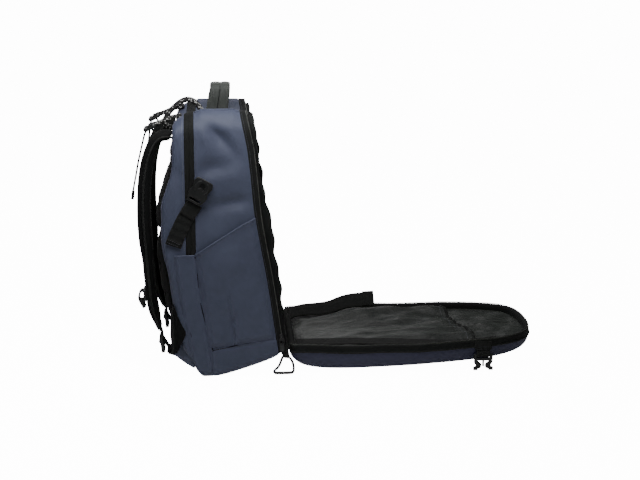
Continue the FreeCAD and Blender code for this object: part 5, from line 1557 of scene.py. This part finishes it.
# webbing tabs and prong buckles on the front panel's sides
tabs = []
for sgn, side in ((-1, "near"), (1, "far")):
    yy = sgn * 142.6
    rim_y = 137.6
    path_ = smooth_line([(360, sgn * (rim_y + 1.0), 53.5), (360, sgn * (rim_y + 2.4), 49), (360, sgn * 141.2, 41), (360, sgn * 142.9, 36.5), (360, sgn * 144.9, 33.0), (360, sgn * 145.0, 29.6), (360, sgn * 142.8, 27.9), (360, sgn * 140.6, 29.6), (360, sgn * 140.4, 33.4), (360, sgn * 139.6, 38.0), (360, sgn * 138.6, 42)], 50)
    tabs.append(sweep("tab", path_, flat(25.5, 1.4), M["webbing"], up=(1, 0, 0), body=FP, slot="webbing"))
    tabs.append(sweep("tabt", smooth_line([(360, sgn * (rim_y + 1.6), 56.0), (360, sgn * (rim_y + 3.3), 49), (360, sgn * 142.1, 41)], 24), flat(31.0, 1.7, 0.2), M["webbing"], up=(1, 0, 0), body=FP, slot="webbing"))
    tabs.append(stitches("ts", [(347.5, sgn * 143.4, 42.0), (372.5, sgn * 143.4, 42.0)], M["thread_dark"], FP))
    tabs.append(stitches("ts", [(347.5, sgn * 142.6, 46.0), (372.5, sgn * 142.6, 46.0)], M["thread_dark"], FP))
    b = "%s_prong" % side
    zb = 30.9
    pc = [sweep("pb", [(344.4, yy, zb), (375.6, yy, zb)], circle(1.55, 12), M["plastic"], up=(0, 0, 1), body=b, slot="buckle_plastic")]
    pf = lambda a, c, d, s=sgn: (360.0 + a, s * (142.6 + d), zb + c)
    frame_o = rounded(-17.6, 17.6, -10.6, 2.0, 2.4)
    pc.append(flat_ring("pf", frame_o, [rounded(-13.2, 13.2, -4.8, -0.8, 1.0)], M["plastic"], pf, 5.6, 1.2, body=b, slot="buckle_plastic"))
    for k in (-1, 1):
        arm = smooth_line([(k * 13.6, -9.0), (k * 13.4, -13.0), (k * 10.8, -16.4), (k * 7.6, -19.0), (k * 8.0, -21.6), (k * 12.0, -23.6), (k * 14.4, -26.0)], 30)
        pc.append(sweep("arm", [(360.0 + x, yy, zb + z) for x, z in arm], circle(2.5, 12, 3.9), M["plastic"], up=(0, 1, 0), body=b, scale=lambda t: (1.0, 1.0 + 0.15 * math.sin(math.pi * t))))
        pc.append(box_piece("tip", (-4.0, -2.5, -3.4), (4.6, 2.5, 3.2), M["plastic"], 1.7, b, move=lambda q, k=k: (360.0 + k * (14.0 + q.x), yy + q.y, 5.0 + q.z)))
    pc.append(sweep("mid", [(360.0, yy, 21.0), (360.0, yy, 15.0), (360.0, yy, 9.6)], rounded(-2.2, 2.2, -1.7, 1.7, 0.7), M["plastic"], up=(0, 1, 0), body=b))
    done(join("prong_buckle_%s" % side, pc), "%s_prong_buckle" % side)
done(join("buckle_tab_webbing", tabs), "buckle_tabs")

# fold between the bag and the front panel
rows = []
fold = [(-15.0, 42.5), (-11.5, 45.5), (-8.0, 47.6), (-4.5, 47.2), (-1.0, 45.8), (2.2, 46.4), (5.4, 50.6), (7.6, 53.0), (10.4, 53.4), (12.6, 49.5)]
for x, z in smooth_line(fold, 26):
    row = []
    for i in range(80):
        y = -131.0 + 262.0 * i / 79.0
        w = math.exp(-((x + 1.0) / 6.0) ** 2)
        row.append((x + 0.8 * ripple(x, y, 0, 16.0, 2.2), y, z + w * (1.8 * ripple(0, y, 0, 12.0, 8.0) + 0.8 * math.sin(y / 6.5))))
    rows.append(row)
fc = grid("fold_cloth", rows, M["tape"], 1.4, 1, "bag", "zipper_tape")
done(fc, "fold_piping", blend=("bag", FP, (-0.099, 0, 0.050), (-0.087, 0, 0.050)))

# ---------------------------------------------------------------- finishes of the pieces carried over
FINISH = {"solar_border": "panel", "solar_laminate": "laminate", "solar_cells": "cells", "charge_controller": "controller", "usb_outlet": "outlet"}
for name, key in FINISH.items():
    ob = NODE[name]
    ob.data.materials.clear()
    ob.data.materials.append(M[key])
# stitched edge round the solar panel and a clear film's raised border
ct, st_ = math.cos(math.radians(2.2)), math.sin(math.radians(2.2))


def on_lam(a, b, c):
    return (78.0 + a * ct - c * st_, b, 0.35 + a * st_ + c * ct)


lp_ = [on_lam(a, b, -0.0) for a, b in even([(6, -90), (276, -90), (276, 90), (6, 90), (6, -90)], 300)]
edge = [tube("le", [on_lam(a, b, 0.55) for a, b in rounded(1.2, 280.8, -94.8, 94.8, 5.0, 6)], 0.6, M["binding"], FP, "panel_fabric", closed=True, up=(0, 0, 1))]
edge.append(stitches("ls", lp_, M["thread_dark"], FP, "panel_fabric", r=0.3))
done(join("solar_border_stitching", edge), squash=False)

# ---------------------------------------------------------------- painted seam shade: dark tubes along the side cloth's seams; black patch at the lower back
from mathutils.bvhtree import BVHTree

TREES = [BVHTree.FromPolygons([v.co for v in o.data.vertices], [tuple(p.vertices) for p in o.data.polygons]) for o in DONE
         if o.name.startswith(("body_skin", "laptop_gusset_skin", "side_pocket_", "rear_strip_", "lower_band_", "wing_cloth"))]


def on_side(x, z, sgn, lift=0.25):
    """Where a line across the bag first meets the cloth on one side."""
    best = None
    for tr in TREES:
        hit = tr.ray_cast(V(x, sgn * 200.0, z), Vector((0, -sgn, 0)), 0.15)[0]
        if hit is not None and (best is None or abs(hit.y) > abs(best)):
            best = hit.y * 1000.0
    return (x, (best if best is not None else sgn * 142.0) + sgn * lift, z)


SEAMS = [[(-198.8, 221.8), (-195.8, 189.5), (-191.8, 165.0), (-183.6, 111.1), (-176.6, 76.8), (-171.9, 54.8), (-167.0, 27.0)],
         [(-164.1, 217.0), (-163.4, 184.6), (-162.0, 150.3), (-153.1, 111.1), (-144.9, 76.8), (-139.1, 52.3), (-134.4, 27.8), (-130.0, 7.0)],
         [(-198.8, 222.6), (-181.3, 223.3), (-162.3, 224.0)],
         [(-107.4, 144.2), (-101.6, 123.4), (-95.7, 96.4), (-92.9, 76.8), (-92.0, 60.9)],
         [(-137.9, 50.4), (-115.6, 54.3), (-92.2, 59.7), (-68.8, 65.1), (-45.3, 69.0), (-23.5, 71.6)]]
for sgn, side in ((-1, "near"), (1, "far")):
    sm = []
    for k, ln in enumerate(SEAMS):
        pts = [on_side(x, z, sgn, 0.5) for x, z in even(ln, 44)]
        # painted shade: dark seam_shadow tubes laid just proud of the cloth stand for the shade in the seam grooves
        sm.append(sweep("seam", pts, circle(0.9, 8, 1.0 if k != 3 else 1.4), M["seam"], up=(0, 1, 0), slot="webbing", scale=(lambda t: (1.0, 0.25 + 0.9 * sstep(0, 0.5, t))) if k == 3 else None))
    done(join("side_seam_shade_%s" % side, sm))
    rows = []
    left = even([(-210.0, 134), (-214.5, 108), (-216.0, 74), (-213.0, 44)], 16)
    right = even([(-206.0, 134), (-197.0, 106), (-185.5, 84), (-203.0, 47)], 16)
    for (lx, lz), (rx, rz) in zip(left, right):
        rows.append([(lx + (rx - lx) * i / 9.0, sgn * (119.0 + 25.4 * min(1.0, i / 3.0) ** 0.6), lz + (rz - lz) * i / 9.0) for i in range(10)])
    done(grid("lower_back_patch_%s" % side, rows, M["strap"], 1.2, 1, "bag", "mesh_pad"), sheet=None)

# ---------------------------------------------------------------- floor
bm = bmesh.new()
bmesh.ops.create_grid(bm, x_segments=1, y_segments=1, size=8.0)
me = bpy.data.meshes.new("floor")
bm.to_mesh(me)
bm.free()
fm = bpy.data.materials.new("floor_paper")
fm.use_nodes = True
fb = fm.node_tree.nodes["Principled BSDF"]
fb.inputs["Base Color"].default_value = (0.93, 0.93, 0.93, 1.0)
fb.inputs["Roughness"].default_value = 0.9
fb.inputs["Emission Color"].default_value = (1.0, 1.0, 1.0, 1.0)
fp_ = fm.node_tree.nodes.new("ShaderNodeLightPath")
fr_ = fm.node_tree.nodes.new("ShaderNodeMapRange")
fm.node_tree.links.new(fp_.outputs["Is Camera Ray"], fr_.inputs[0])
fr_.inputs[3].default_value = 0.0
fr_.inputs[4].default_value = 14.0
fm.node_tree.links.new(fr_.outputs[0], fb.inputs["Emission Strength"])
me.materials.append(fm)
floor = bpy.data.objects.new("floor", me)
bpy.context.scene.collection.objects.link(floor)
